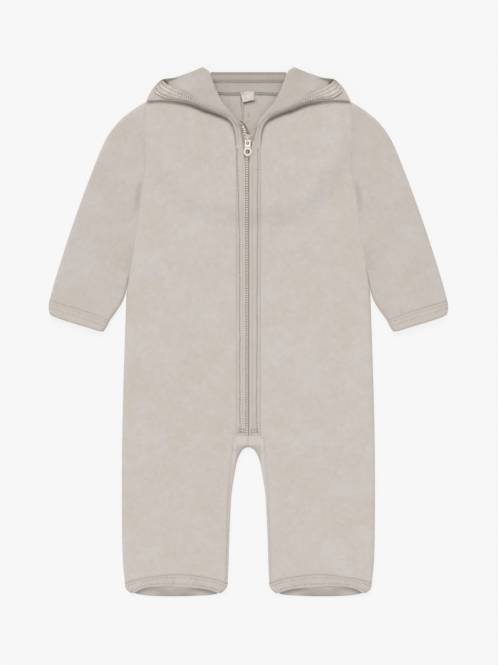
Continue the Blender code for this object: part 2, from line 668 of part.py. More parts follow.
def hood_side_top(points):
    """Top of the hood side: level over the front, falling past the shoulder."""
    start = as_array(SHOULDER)
    along_shoulder = (start[1] - start[0]) / np.linalg.norm(start[1] - start[0])
    away = np.array([-along_shoulder[1], along_shoulder[0]])
    beyond = (points - start[0]) @ away
    past = smoothstep((points[..., 0] - HOOD_FALL_START) / HOOD_FALL_WIDTH)
    fall = smoothstep(beyond / HOOD_FALL_LENGTH) * past
    return HOOD_SIDE_TOP - HOOD_SIDE_DROP * fall


def add_hood_side(name, side, material):
    """A side of the hood, rolled open: the inside lies up, and turns under at its
    inner fold to reach the neck seam."""
    rows = np.linspace(0, 1, 13)
    shares = np.linspace(0, 1, 33)
    fold = along(dense(HOOD_FOLD), rows)
    outer = along(dense(HOOD_OUTER), rows)
    start = fold[0] + shares[:, None] * (outer[0] - fold[0])
    top = along(dense(HOOD_TOP), shares)
    plan = coons(start, top, fold, outer, rows, shares)
    neck = dense(FRONT_NECK)
    turns = np.radians(HOOD_TURNS)
    upper_shares = np.array(HOOD_UPPER_SHARES)
    under_shares = np.array(HOOD_UNDER_SHARES)
    grid = []
    for line in plan:
        run = lengths(line)
        neck_y = np.interp(line[:, 0], neck[:, 0], neck[:, 1])
        outside = (line[:, 1] < neck_y + CURVED_SEAM) & (line[:, 0] < neck[-1, 0])
        end = run[outside][0] - HOOD_NECK_GAP if outside.any() else HOOD_TURN_UNDER
        end = max(end, HOOD_FOLD_RADIUS + SEAM)
        over = HOOD_FOLD_RADIUS + upper_shares * (run[-1] - HOOD_FOLD_RADIUS)
        bend = HOOD_FOLD_RADIUS * (1 - np.cos(turns))
        under = HOOD_FOLD_RADIUS + under_shares * (end - HOOD_FOLD_RADIUS)
        reach = np.concatenate([over, bend, under])
        points = np.stack([np.interp(reach, run, column) for column in line.T], axis=1)
        drop = np.concatenate([np.zeros(len(over)), HOOD_FOLD_RADIUS * (1 - np.sin(turns)),
                               np.full(len(under), 2 * HOOD_FOLD_RADIUS)])
        grid.append(np.column_stack([points, hood_side_top(points) - drop]))
    return cloth(name, np.array(grid), side, material, probe=(6, 2))


def add_hood_band(name, side, material):
    """The band on the hood's edge, wide where it turns up at the corner."""
    rows = np.linspace(0, 1, 15)
    table = dense(HOOD_BAND)
    inner = along(table[:, :2], rows)
    outer = along(table[:, 2:], rows)
    across = np.linspace(0, 1, 5)[None, :, None]
    plan = inner[:, None] + across * (outer - inner)[:, None]
    crest = HOOD_BAND_CREST * np.sin(math.pi * across[..., 0])
    height = hood_side_top(plan) + HOOD_BAND_GAP + BAND_WALL + crest
    return cloth(name, with_height(plan, height), side, material, wall=BAND_WALL)


def hood_back_profile():
    """Section of the hood behind the neck: y and height of its outer side."""
    return as_array(HOOD_BACK_SECTION) + [0, NAPE_TOP]


def sweep_across(profile, half):
    """Grid of a section carried across the garment, the same on both sides of x = 0."""
    across = np.linspace(-half, half, 9)
    grid = np.zeros((len(profile), len(across), 3))
    grid[..., 0] = across[None, :]
    grid[..., 1:] = profile[:, None, :]
    return grid


def add_hood_back(name, material):
    """The inside of the hood above the nape seam, rolled over at the top."""
    return cloth(name, sweep_across(hood_back_profile(), HOOD_BACK_HALF), 1, material)


def add_hood_band_back(name, material):
    """The band along the top of the hood's opening."""
    profile = hood_back_profile()[BAND_FROM:]
    steps = np.gradient(profile, axis=0)
    normals = np.stack([-steps[:, 1], steps[:, 0]], axis=1)
    normals /= np.linalg.norm(normals, axis=1)[:, None]
    normals[-1] = [1.0, 0.0]
    outer = profile + normals * (SEAM + BAND_WALL)
    return cloth(name, sweep_across(outer, HOOD_BAND_BACK_HALF), 1, material, wall=BAND_WALL)


def strip_plan(table, columns):
    """Plan grid of a long strip, with rows at the zip's levels and at its top."""
    line = as_array(table)
    first, last = line[0, 1], line[-1, 1]
    between = [level for level in ZIP_LEVELS if first < level < last - 1]
    levels = np.array([first] + between + [last])
    edges = np.stack([np.interp(levels, line[:, 1], column) for column in line.T], axis=1)
    out = np.asarray(columns)[None, :, None]
    return edges[:, None, :2] * (1 - out) + edges[:, None, 2:] * out


def add_strip(name, table, columns, top, wall, side, material):
    """A long strip of the zip, or the label: its top side at a height over the cloth."""
    plan = strip_plan(table, [column.share for column in columns])
    height = top + np.array([column.hump for column in columns])[None, :] + lift(plan)
    upright = np.ones(height.shape, dtype=bool)
    return cloth(name, with_height(plan, height), side, material, wall=wall, probe=(0, 0),
                 upright=upright)


def box(name, low, high):
    """A box between two corners, as a new object."""
    low = np.array(low)
    high = np.array(high)
    bpy.ops.mesh.primitive_cube_add(size=1, location=tuple((low + high) / 2 * MM))
    piece = bpy.context.object
    piece.name = name
    piece.scale = tuple((high - low) * MM)
    bpy.ops.object.transform_apply(location=False, rotation=False, scale=True)
    return piece


def cylinder(name, centre, radius, length, axis="Z", sides=24):
    """A cylinder about a centre, as a new object."""
    turn = (0, math.pi / 2, 0) if axis == "X" else (0, 0, 0)
    bpy.ops.mesh.primitive_cylinder_add(vertices=sides, radius=radius * MM, depth=length * MM,
                                        location=tuple(np.array(centre) * MM), rotation=turn)
    piece = bpy.context.object
    piece.name = name
    return piece


def combine(piece, others, operation):
    """Join or cut a piece with others, which are then removed."""
    for other in others:
        step = piece.modifiers.new(operation.title(), "BOOLEAN")
        step.operation = operation
        step.solver = "EXACT"
        step.object = other
        bpy.context.view_layer.objects.active = piece
        bpy.ops.object.modifier_apply(modifier=step.name)
        bpy.data.objects.remove(other, do_unlink=True)


def finish_metal(piece, material):
    """Give a metal piece its material, and move it to the garment."""
    piece.data.materials.clear()
    piece.data.materials.append(material)
    for collection in list(piece.users_collection):
        collection.objects.unlink(piece)
    GARMENT.objects.link(piece)


def add_slider(name, material):
    """The slider: two plates joined by a post, with a bridge over the pull's bar."""
    base = LIFT
    half = SLIDER_WIDTH / 2
    low_y = SLIDER_Y - SLIDER_LENGTH / 2
    high_y = SLIDER_Y + SLIDER_LENGTH / 2
    piece = box(name, (SLIDER_X - half, low_y, base + SLIDER_HIGH[0]),
                (SLIDER_X + half, high_y - half, base + SLIDER_HIGH[1]))
    plate = (SLIDER_HIGH[0] + SLIDER_HIGH[1]) / 2
    nose = cylinder("nose", (SLIDER_X, high_y - half, base + plate), half - NOSE_INSET,
                    SLIDER_HIGH[1] - SLIDER_HIGH[0])
    back = box("back", (SLIDER_X - half, low_y, base + SLIDER_LOW[0]),
               (SLIDER_X + half, high_y, base + SLIDER_LOW[1]))
    half_post = POST_WIDTH / 2
    post = box("post", (SLIDER_X - half_post, high_y - POST_FROM_TOP[0],
                        base + SLIDER_LOW[0] + OVERLAP),
               (SLIDER_X + half_post, high_y - POST_FROM_TOP[1], base + SLIDER_HIGH[1] - OVERLAP))
    bridge_top = PULL_AXIS_Z + PULL_THICKNESS / 2 + BRIDGE_PLAY + BRIDGE_THICKNESS
    half_bridge = BRIDGE_WIDTH / 2
    bridge = box("bridge", (SLIDER_X - half_bridge, PULL_AXIS_Y - BRIDGE_REACH, base + plate),
                 (SLIDER_X + half_bridge, PULL_AXIS_Y + BRIDGE_REACH, base + bridge_top))
    inner = BRIDGE_REACH - BRIDGE_THICKNESS
    gap = box("gap", (SLIDER_X - half, PULL_AXIS_Y - inner, base + SLIDER_HIGH[1]),
              (SLIDER_X + half, PULL_AXIS_Y + inner, base + bridge_top - BRIDGE_THICKNESS))
    combine(bridge, [gap], "DIFFERENCE")
    boss_y = high_y - BOSS_FROM_TOP
    boss = cylinder("boss", (SLIDER_X, boss_y, base + BOSS_MIDDLE), BOSS_RADIUS, BOSS_LENGTH)
    dip = cylinder("dip", (SLIDER_X, boss_y, base + BOSS_MIDDLE + BOSS_LENGTH / 2), DIP_RADIUS,
                   BOSS_LENGTH)
    combine(piece, [nose, back, post, boss], "UNION")
    combine(piece, [dip], "DIFFERENCE")
    combine(piece, [bridge], "UNION")
    finish_metal(piece, material)
    return piece


def add_pull_tab(name, material):
    """The pull tab: a plate with a bar under the bridge and a ring at its end."""
    axis = np.array([SLIDER_X, PULL_AXIS_Y, LIFT + PULL_AXIS_Z])
    middle = axis[2]
    half_thick = PULL_THICKNESS / 2
    half_width = PULL_WIDTH / 2
    half_window = WINDOW_WIDTH / 2
    ring_y = PULL_AXIS_Y - PULL_LENGTH + PULL_RING
    window_y = PULL_AXIS_Y - half_thick
    half_ridge = half_width - RIDGE_INSET
    piece = box(name, (SLIDER_X - half_width, ring_y, middle - half_thick),
                (SLIDER_X + half_width, PULL_AXIS_Y, middle + half_thick))
    end = cylinder("end", tuple(axis), half_thick, PULL_WIDTH, axis="X", sides=20)
    ring = cylinder("ring", (SLIDER_X, ring_y, middle), PULL_RING, PULL_THICKNESS, sides=32)
    window = box("window", (SLIDER_X - half_window, window_y - WINDOW_LENGTH,
                            middle - PULL_THICKNESS),
                 (SLIDER_X + half_window, window_y, middle + PULL_THICKNESS))
    hole = cylinder("hole", (SLIDER_X, ring_y, middle), PULL_HOLE, 3 * PULL_THICKNESS)
    ridge = box("ridge", (SLIDER_X - half_ridge, PULL_AXIS_Y - RIDGE_FROM_AXIS[0], middle),
                (SLIDER_X + half_ridge, PULL_AXIS_Y - RIDGE_FROM_AXIS[1],
                 middle + half_thick + RIDGE_HEIGHT))
    combine(piece, [end, ring, ridge], "UNION")
    combine(piece, [window, hole], "DIFFERENCE")
    origin = axis * MM
    piece.data.transform(piece.matrix_world)
    piece.matrix_world.identity()
    piece.data.transform(Matrix.Translation(-Vector(origin)))
    piece.location = origin
    finish_metal(piece, material)
    return piece


def main():
    """Build every piece."""
    fleece = make_material("fleece", (0.585, 0.535, 0.497), 0.95)
    inside_fleece = make_material("fleece_inside", (0.51, 0.455, 0.41), 0.95)
    tape = make_material("zip_tape", (0.60, 0.55, 0.51), 0.85)
    teeth = make_material("zip_teeth", (0.66, 0.61, 0.56), 0.45)
    metal = make_material("pale_metal", (0.72, 0.66, 0.60), 0.32, 1.0)
    satin = make_material("label", (0.68, 0.61, 0.53), 0.7)
    for side, word in ((-1, "left"), (1, "right")):
        add_front(f"front_{word}", side, fleece)
        add_back(f"back_{word}", side, fleece)
        add_sleeve(f"sleeve_{word}", side, fleece)
        add_cuff(f"cuff_{word}", side, fleece)
        add_hem(f"hem_{word}", side, fleece)
        add_gusset(f"gusset_{word}", side, fleece)
        add_hood_side(f"hood_{word}", side, inside_fleece)
        add_hood_band(f"hood_band_{word}", side, fleece)
    add_crown("hood_crown", fleece)
    add_hood_back("hood_back", inside_fleece)
    add_hood_band_back("hood_band_back", fleece)
    add_strip("zip_facing_right", FACING_RIGHT, FACING_RIGHT_COLUMNS, BODY_HEIGHT, FACING_WALL,
              1, fleece)
    add_strip("zip_facing_left", FACING_LEFT, FACING_LEFT_COLUMNS, BODY_HEIGHT, FACING_WALL,
              -1, fleece)
    add_strip("zip_tape_right", TAPE_RIGHT, FLAT_COLUMNS, TAPE_TOP, TAPE_WALL, 1, tape)
    add_strip("zip_tape_left", TAPE_LEFT, FLAT_COLUMNS, TAPE_TOP, TAPE_WALL, -1, tape)
    add_strip("zip_chain_right", CHAIN_RIGHT, FLAT_COLUMNS, HIDDEN_CHAIN_TOP,
              HIDDEN_CHAIN_WALL, 1, teeth)
    add_strip("zip_chain_left", CHAIN_LEFT, CHAIN_COLUMNS, CHAIN_TOP, CHAIN_WALL, -1, teeth)
    add_strip("zip_underlap", UNDERLAP, WIDE_COLUMNS, UNDERLAP_TOP, UNDERLAP_WALL, 1,
              inside_fleece)
    add_slider("zip_slider", metal)
    add_pull_tab("pull_tab", metal)
    add_strip("label", LABEL, WIDE_COLUMNS, WALL + SEAM + LABEL_WALL, LABEL_WALL, 1, satin)


for item in list(bpy.data.objects):
    bpy.data.objects.remove(item, do_unlink=True)
GARMENT = bpy.data.collections.new("fleece_overall")
bpy.context.scene.collection.children.link(GARMENT)
main()
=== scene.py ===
"""Looks of a hooded fleece overall for a baby, laid out flat on its back.

Tables and sizes are in millimetres, seen from above: +X to the right, +Y up to
the hood, +Z up from the table. They become metres when a mesh is made. The
outlines hold the right-hand half, and the left-hand half has x turned over, also
where it has a table of its own. Creases, the flap, the label, and the strokes of
the back, the gusset, the tapes and the flap are given where they lie.
"""
import logging
import math
from dataclasses import dataclass
from enum import Enum
from typing import Any, Callable, NamedTuple, Sequence, TypeVar

import bmesh
import bpy
import numpy as np
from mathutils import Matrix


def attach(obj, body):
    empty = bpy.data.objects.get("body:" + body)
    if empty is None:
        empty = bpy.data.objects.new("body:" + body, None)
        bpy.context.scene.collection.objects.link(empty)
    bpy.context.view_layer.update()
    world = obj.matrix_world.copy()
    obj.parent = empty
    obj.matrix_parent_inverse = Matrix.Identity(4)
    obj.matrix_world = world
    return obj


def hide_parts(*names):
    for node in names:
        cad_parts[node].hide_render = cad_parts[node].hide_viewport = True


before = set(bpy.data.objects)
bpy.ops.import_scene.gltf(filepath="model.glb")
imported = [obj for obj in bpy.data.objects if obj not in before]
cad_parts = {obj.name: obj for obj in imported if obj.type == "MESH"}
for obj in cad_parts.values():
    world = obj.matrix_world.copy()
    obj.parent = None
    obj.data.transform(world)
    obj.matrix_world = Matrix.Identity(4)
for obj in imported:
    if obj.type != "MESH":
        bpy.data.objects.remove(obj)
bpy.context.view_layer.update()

Array = np.ndarray
Material = bpy.types.Material
Mesh = bpy.types.Mesh
Triple = tuple[float, float, float]
Row = TypeVar("Row")
MM = 0.001
LOG = logging.getLogger("overall")

# Cloth and how it lies
WALL = 2.4
BAND_WALL = 1.4
BODY_HEIGHT = 8.2
MIDDLE = BODY_HEIGHT / 2
SEAM = 0.04             # pieces meet at a seam here, and their edges dip into it
EDGE_ROLL = 5.0
PANEL_WIDTH = 122.0
SLEEVE_WIDTH = 90.0
CUFF_WIDTH = 70.0
HEM_WIDTH = 114.0
NECK_SHARE = 0.5
SHOULDER_FULLNESS = 0.62
SLEEVE_GAP = 0.06
SLEEVE_CLOSES = 0.3
BESIDE = 0.97               # the roll's fullness where body and sleeve lie close together
BESIDE_START = 46.0
BESIDE_RUN = 46.0
RIB_PITCH = 2.3

# Hood folded down behind the back, and its sides rolled open
CROWN_HEIGHT = 4.7
LIFT = CROWN_HEIGHT + 0.3
LIFT_START = -35.0
LIFT_RUN = 28.0
HOOD_FOLD_RADIUS = 3.1
HOOD_SIDE_TOP = 17.0
HOOD_SIDE_DROP = 8.0
HOOD_TURN_UNDER = 9.0
HOOD_FALL_START = 46.0
HOOD_FALL_WIDTH = 24.0
HOOD_FALL_LENGTH = 16.0
HOOD_RISE_START = 226.0
HOOD_RISE_LENGTH = 26.0
HOOD_ZIP_DROP = 4.2
HOOD_NECK_GAP = 1.0
HOOD_BAND_GAP = 0.5
HOOD_BACK_HALF = 43.0
HOOD_BAND_BACK_HALF = 42.6
NAPE_TOP = LIFT + WALL
BACK_SEAM_SHIFT = -7.6      # the centre back seam at the neck lies to the left
BACK_SEAM_START = 120.0
BACK_SEAM_RUN = 120.0

# Zip, with heights measured from the lifted cloth
ZIP_TOP = 234.0
ZIP_BOTTOM = -115.7
ZIP_EDGE = 13.5
FRONT_EDGE = ZIP_EDGE + 0.1
FRONT_EDGE_START = -100.0
FACING_WALL = 1.8
UNDERLAP_TOP = 3.7
UNDERLAP_WALL = 1.0
TAPE_TOP = 5.7
TAPE_WALL = 0.7
TOOTH_PITCH = 2.67


class Point(NamedTuple):
    """A point on an outline, seen from above."""
    x: float
    y: float


class EdgeRow(NamedTuple):
    """One row of a strip: its inner and outer edge."""
    inner_x: float
    inner_y: float
    outer_x: float
    outer_y: float


class Level(NamedTuple):
    """One row across a body panel: its y on the inner and the outer side."""
    inner_y: float
    outer_y: float


class Layer(NamedTuple):
    """One ring up the side of the folded hood: its inset and its height."""
    inset: float
    height: float


class Section(NamedTuple):
    """A point of the hood's section behind the neck: its y and its rise."""
    y: float
    rise: float


def table(kind: Callable[..., Row], *rows: tuple[float, ...]) -> list[Row]:
    """One item of this kind from each row of numbers."""
    return [kind(*row) for row in rows]


SIDE_SEAM = table(
    Point, (139.6, -283), (142.5, -245), (143.0, -150), (141.6, -70), (138.4, 28), (136.5, 55),
    (127.1, 107), (120.9, 158.9))
ARMHOLE = table(Point, (120.9, 158.9), (117.4, 177), (116.5, 205), (116.8, 240), (114.7, 260.6))
SHOULDER = table(Point, (64.4, 273.0), (114.7, 260.6))
FRONT_NECK = table(
    Point, (13.6, ZIP_TOP), (22.6, 245.9), (37.9, 256.1), (53.7, 265.1), (64.4, 273.0))
BACK_NECK = table(Point, (0.0, 269.6), (31.6, 269.6), (46.0, 269.7), (56.0, 270.8), (64.4, 273.0))
GUSSET = table(
    EdgeRow, (25.6, -283, 23.5, -283), (24.8, -262, 22.5, -262), (24.3, -240, 21.9, -240),
    (23.4, -212, 20.7, -212), (22.6, -185, 19.3, -185), (20.9, -163, 16.2, -163),
    (19.2, -145, 12.7, -145), (18.3, -134, 9.4, -137), (17.6, -122.5, 6.6, -132.6),
    (13.7, ZIP_BOTTOM, 3.6, -130.6), (7.0, ZIP_BOTTOM, 1.6, -129.9),
    (SEAM / 2, ZIP_BOTTOM, SEAM / 2, -129.8))
GUSSET_SEAM_ROWS = 10       # rows of the gusset whose inner edge meets a front and a back

HEM_INNER = Point(23.4, -283)
FRONT_HEM_SEAM = table(
    Point, (25.6, -283), (45, -277.2), (80.8, -273.3), (118.2, -277.5), (139.6, -283))
FRONT_HEM_EDGE = table(
    Point, (31.6, -294.7), (45.4, -290.2), (65.5, -287.4), (95.8, -286.0), (116.1, -287.8),
    (131.2, -294.7))
BACK_HEM_SEAM = table(Point, (25.6, -283), (50, -286), (81, -287.2), (118, -286), (139.6, -283))
BACK_HEM_EDGE = table(
    Point, (31.6, -294.7), (45.4, -297.2), (81, -298.4), (113.0, -297.6), (131.2, -294.7))
HEM_CORNERS = (2.0, 2.8)        # how far the band's inner and outer end bulge out

SLEEVE_TOP = table(
    Point, (114.7, 260.6), (131.6, 250.4), (147.5, 236.8), (162.2, 215.4), (179.1, 174.7),
    (198.9, 120.5), (216.4, 66.2), (224.8, 36.2))
SLEEVE_UNDER = table(
    Point, (120.9, 158.9), (127.1, 107), (136.5, 55), (141.2, 37.5), (148.6, 24.8), (156.8, 13.6))
CUFF_SEAM = table(Point, (156.8, 13.6), (186.0, 24.6), (224.8, 36.2))
CUFF_EDGE = table(
    Point, (163.9, 1.2), (169.5, 1.8), (181.3, 5.6), (199.6, 11.0), (213.6, 15.6), (221.0, 18.6),
    (224.6, 21.4))
CUFF_CORNERS = (0.6, 1.2)

CROWN_OUTLINE = table(
    Point, (0, 289.0), (32, 288.9), (43.5, 288.9), (54, 293.4), (72, 288.2), (92, 281.6),
    (102, 273), (106, 262), (103, 246), (91, 208), (70, 174), (38, 154), (0, 150))
CROWN_LAYERS = table(
    Layer, (1.4, 0.0), (0.4, 0.5), (0.0, 1.4), (0.5, 2.2), (0.5, 2.5), (0.0, 3.2), (1.2, 4.1),
    (4.0, CROWN_HEIGHT))

HOOD_FOLD = table(
    Point, (9.0, 229.2), (10.6, 236.4), (15.0, 243.2), (22.5, 251.5), (29.4, 260.0), (36.2, 273.5),
    (40.5, 284.6), (44.4, 293.8), (50.8, 298.4))
HOOD_OUTER = table(
    Point, (13.5, 226.4), (15.4, 231.5), (24.5, 241.2), (36.0, 246.4), (49.0, 251.4),
    (63.0, 256.8), (80.0, 260.2), (98.0, 261.2), (114.5, 260.4))
HOOD_TOP = table(
    Point, (50.8, 298.4), (70.7, 291.7), (84.0, 287.4), (96.7, 285.6), (104.9, 278.5),
    (109.4, 271.8), (114.5, 260.4))
HOOD_BAND = table(
    EdgeRow, (10.4, 207.0, 13.7, 207.0), (10.4, 216.0, 14.0, 215.5), (11.0, 223.8, 14.7, 222.5),
    (12.8, 230.6, 16.0, 228.6), (17.1, 237.2, 19.0, 235.6), (23.4, 243.9, 24.9, 242.0),
    (32.2, 248.2, 34.2, 246.4), (46.3, 254.2, 48.4, 252.0), (61.5, 261.2, 63.6, 258.0),
    (76.6, 269.9, 80.0, 261.5), (84.6, 274.8, 93.6, 262.8), (92.4, 280.6, 104.0, 268.6),
    (96.3, 284.4, 106.0, 274.2))
HOOD_BACK_SECTION = table(
    Section, (270.2, 0.0), (277.0, 0.1), (283.0, 0.5), (287.0, 0.4), (289.6, -0.4), (291.6, -1.8),
    (292.8, -3.6), (293.2, -5.6))
BAND_FROM = 2

FACING_RIGHT = table(
    EdgeRow, (1.0, ZIP_BOTTOM, ZIP_EDGE, ZIP_BOTTOM), (1.0, 60, ZIP_EDGE, 60),
    (1.0, 186, ZIP_EDGE, 186), (1.9, 199, ZIP_EDGE, 199), (3.9, 211, ZIP_EDGE, 212),
    (5.6, 217.5, ZIP_EDGE, 219), (7.6, 225, ZIP_EDGE, 226), (10.2, 233.6, ZIP_EDGE, 233.0))
FACING_LEFT = table(
    EdgeRow, (3.0, ZIP_BOTTOM, ZIP_EDGE, ZIP_BOTTOM), (3.0, 60, ZIP_EDGE, 60),
    (3.1, 186, ZIP_EDGE, 186), (4.5, 199, ZIP_EDGE, 199), (5.9, 212, ZIP_EDGE, 212),
    (6.9, 220, ZIP_EDGE, 221), (8.4, 228, ZIP_EDGE, 228), (10.4, 233.6, ZIP_EDGE, 233.0))
TAPE_RIGHT = table(
    EdgeRow, (0.15, ZIP_BOTTOM, 11.0, ZIP_BOTTOM), (0.15, 150, 11.0, 150), (0.15, 213, 11.0, 213),
    (0.6, 216.5, 11.0, 217), (1.4, 223.5, 11.0, 223.5), (4.2, 229, 11.0, 228))
TAPE_LEFT = table(
    EdgeRow, (-0.1, ZIP_BOTTOM, 11.0, ZIP_BOTTOM), (-0.1, 150, 11.0, 150),
    (-0.1, 212.6, 11.0, 213), (2.2, 217.0, 11.0, 217), (2.4, 223.5, 11.0, 223.5),
    (4.0, 230, 11.0, 230), (7.8, 235.5, 11.0, 233.5))
CHAIN_RIGHT = table(Point, (2.2, ZIP_BOTTOM), (2.2, 150), (2.2, 211), (2.2, 216.5), (2.4, 223.5))
CHAIN_LEFT = table(
    Point, (1.5, ZIP_BOTTOM), (1.5, 150), (1.5, 212.6), (3.3, 217.0), (3.8, 223.5), (5.2, 229.2),
    (7.3, 233.4))
UNDERLAP = table(
    EdgeRow, (-7.0, 190, 4.5, 190), (-7.5, 214, 4.2, 214), (-9.5, 224, 2.2, 226),
    (-12.0, 231, -1.0, 233.5), (-13.0, 236, -6.5, 240.5))
LABEL = table(EdgeRow, (-6.2, 259.6, 6.6, 262.4), (-9.0, 271.2, 6.6, 272.4))

BODY_LEVELS = table(
    Level, (-283, -283), (-262, -262), (-240, -240), (-212, -212), (-185, -185), (-163, -163),
    (-145, -145), (-134, -134), (-122.5, -124), (ZIP_BOTTOM, -117), (-115.2, -110), (-95, -88),
    (-55, -50), (-15, -10), (25, 32), (60, 72), (90, 104), (112, 126), (128, 143), (142, 158.9),
    (152, 170), (163, 182), (177, 198), (193, 216), (209, 234), (222, 249), (ZIP_TOP, 260.6))
ARMPIT_LEVEL = 19


class Side(Enum):
    """A half of the garment, and the sign of its x."""
    LEFT = -1
    RIGHT = 1

    def __str__(self) -> str:
        """The half's word in the names of its pieces."""
        return self.name.lower()

    @property
    def turn(self) -> list[int]:
        """Factors of x and y from the right-hand outlines to this half."""
        return [self.value, 1]


class Body(Enum):
    """What a piece moves with."""
    GARMENT = "garment"
    TAB = "pull_tab"


class Held(Enum):
    """How a piece of cloth lies."""
    LAID = "laid"
    FOLDED = "folded"


def as_array(rows: Sequence[Sequence[float]]) -> Array:
    """Turn a table of rows into an array."""
    return np.array([tuple(row) for row in rows], dtype=float)


def dense(points: Sequence[Sequence[float]], steps: int = 16) -> Array:
    """Points along a smooth curve through every row of a table.

    Each span is a Catmull-Rom cubic: it leaves a row in the direction from the
    row before it to the row after it.

    Args:
        points: the rows to pass through.
        steps: points made on each span.

    Returns:
        The points, one a row.
    """
    knots = as_array(points)
    padded = np.vstack([2 * knots[0] - knots[1], knots, 2 * knots[-1] - knots[-2]])
    before, start, end, after = padded[:-3], padded[1:-2], padded[2:-1], padded[3:]
    share = np.linspace(0, 1, steps, endpoint=False)[None, :, None]
    bend = (2 * before - 5 * start + 4 * end - after)[:, None]
    twist = (3 * start - before - 3 * end + after)[:, None]
    slope = (end - before)[:, None]
    spans = start[:, None] + 0.5 * share * (slope + share * (bend + share * twist))
    return np.vstack([spans.reshape(-1, knots.shape[1]), knots[-1:]])


def lengths(line: Array) -> Array:
    """Distance along a line of points, from 0 at its start."""
    return np.concatenate([[0.0], np.cumsum(np.linalg.norm(np.diff(line, axis=0), axis=1))])


def between(places: Array, run: Array, line: Array) -> Array:
    """Points of a line at these places, where run is the place of each of its points."""
    return np.stack([np.interp(places, run, column) for column in line.T], axis=1)


def along(line: Array, shares: Array) -> Array:
    """Points on a line at the given shares of its length."""
    run = lengths(line)
    return between(np.asarray(shares) * run[-1], run, line)


def x_at(line: Array, y: Array) -> Array:
    """The x of a line that runs up, at the given y."""
    order = np.argsort(line[:, 1], kind="stable")
    return np.interp(y, line[order, 1], line[order, 0])


def nearest(points: Array, line: Array) -> tuple[Array, Array]:
    """Shortest distance in plan from each point to a line of points, and where.

    Args:
        points: places, by x and y.
        line: the line's points.

    Returns:
        The distance, and the share of the line's length at the nearest place.
    """
    plan = points[..., :2]
    run = lengths(line)
    gap = np.full(plan.shape[:-1], 1e9)
    place = np.zeros(plan.shape[:-1])
    for number, (start, end) in enumerate(zip(line[:-1], line[1:])):
        step = end - start
        offset = plan - start
        share = np.clip((offset @ step) / max(step @ step, 1e-9), 0, 1)
        away = offset - share[..., None] * step
        away = np.hypot(away[..., 0], away[..., 1])
        closer = away < gap
        gap = np.where(closer, away, gap)
        place = np.where(closer, run[number] + share * (run[number + 1] - run[number]), place)
    return gap, place / max(run[-1], 1e-9)


def distance(points: Array, line: Array) -> Array:
    """Shortest distance in plan from each point to a line of points."""
    return nearest(points, line)[0]


def inside(points: Array, ring: Array) -> Array:
    """Whether each point lies inside a closed ring, by counting crossings.

    Args:
        points: places, by x and y.
        ring: the ring's points.

    Returns:
        True where it does.
    """
    odd = np.zeros(points.shape[:-1], dtype=bool)
    for start, end in zip(ring, np.roll(ring, -1, axis=0)):
        spans = (start[1] > points[..., 1]) != (end[1] > points[..., 1])
        rise = end[1] - start[1] or 1.0
        crossing = start[0] + (points[..., 1] - start[1]) * (end[0] - start[0]) / rise
        odd ^= spans & (points[..., 0] < crossing)
    return odd


def smoothstep(value: Array) -> Array:
    """Ease from 0 to 1 with flat ends."""
    share = np.clip(value, 0, 1)
    return share * share * (3 - 2 * share)


def rounded(share: Array) -> Array:
    """Height of a round edge, a quarter circle: 0 at the rim, 1 past one roll."""
    return np.sqrt(1 - (1 - np.clip(share, 0, 1)) ** 2)


def dip(gap: Array, width: float) -> Array:
    """A bell of height 1 about a line: exp of minus the squared gap over width."""
    return np.exp(-(np.asarray(gap) / width) ** 2)


def finer(values: Sequence[float], count: int) -> Array:
    """Put count steps between each pair of values, evenly."""
    knots = np.asarray(values, dtype=float)
    return np.interp(np.linspace(0, len(knots) - 1, (len(knots) - 1) * count + 1),
                     np.arange(len(knots)), knots)


def unit(vectors: Array) -> Array:
    """The same vectors, each made one long."""
    return vectors / np.maximum(np.linalg.norm(vectors, axis=-1, keepdims=True), 1e-9)


def closed(grid: Array) -> Array:
    """A ring's columns, with the first one again at the end."""
    return np.concatenate([grid, grid[:, :1]], axis=1)


def beside(y: Array) -> Array:
    """How full the roll stays at these heights, where body and sleeve lie side by side."""
    return BESIDE * smoothstep((y - BESIDE_START) / BESIDE_RUN)


def back_seam_x(y: Array) -> Array:
    """The x of the centre back seam, which wanders to the left near the neck."""
    return BACK_SEAM_SHIFT * smoothstep((y - BACK_SEAM_START) / BACK_SEAM_RUN)


def crown_ring() -> Array:
    """The whole outline of the folded hood, both halves."""
    half = dense(CROWN_OUTLINE, steps=5)
    return np.vstack([half, half[-2:0:-1] * [-1, 1]])


CROWN_RING = crown_ring()
ARCH_LINE = dense(GUSSET)[:, 2:]
GUSSET_SEAM = dense(GUSSET[:GUSSET_SEAM_ROWS])[:, :2]


def lift(points: Array) -> Array:
    """How far the folded hood under the back raises the cloth above it.

    It rises as a smoothstep from LIFT_START outside the hood's outline to LIFT.

    Args:
        points: places, by x and y.

    Returns:
        The height at each.
    """
    away = distance(points, np.vstack([CROWN_RING, CROWN_RING[:1]]))
    depth = np.where(inside(points, CROWN_RING), away, -away)
    return LIFT * smoothstep((depth - LIFT_START) / LIFT_RUN)


def coons(bottom: Array, top: Array, inner: Array, outer: Array,
          share_up: Array, share_out: Array) -> Array:
    """Fill four edges with a grid, a Coons patch: rows run up, columns run out.

    Args:
        bottom, top: points on these edges, one a column.
        inner, outer: points on these edges, one a row.
        share_up, share_out: places of the rows and the columns, from 0 to 1.

    Returns:
        The grid.
    """
    up = share_up[:, None, None]
    out = share_out[None, :, None]
    sides = (1 - out) * inner[:, None] + out * outer[:, None]
    ends = (1 - up) * bottom[None] + up * top[None]
    corners = ((1 - up) * ((1 - out) * bottom[0] + out * bottom[-1])
               + up * ((1 - out) * top[0] + out * top[-1]))
    return sides + ends - corners


def with_height(plan: Array, height: Array) -> Array:
    """Join a grid of plan points and a grid of heights."""
    return np.concatenate([plan, np.broadcast_to(height, plan.shape[:-1])[..., None]], axis=-1)


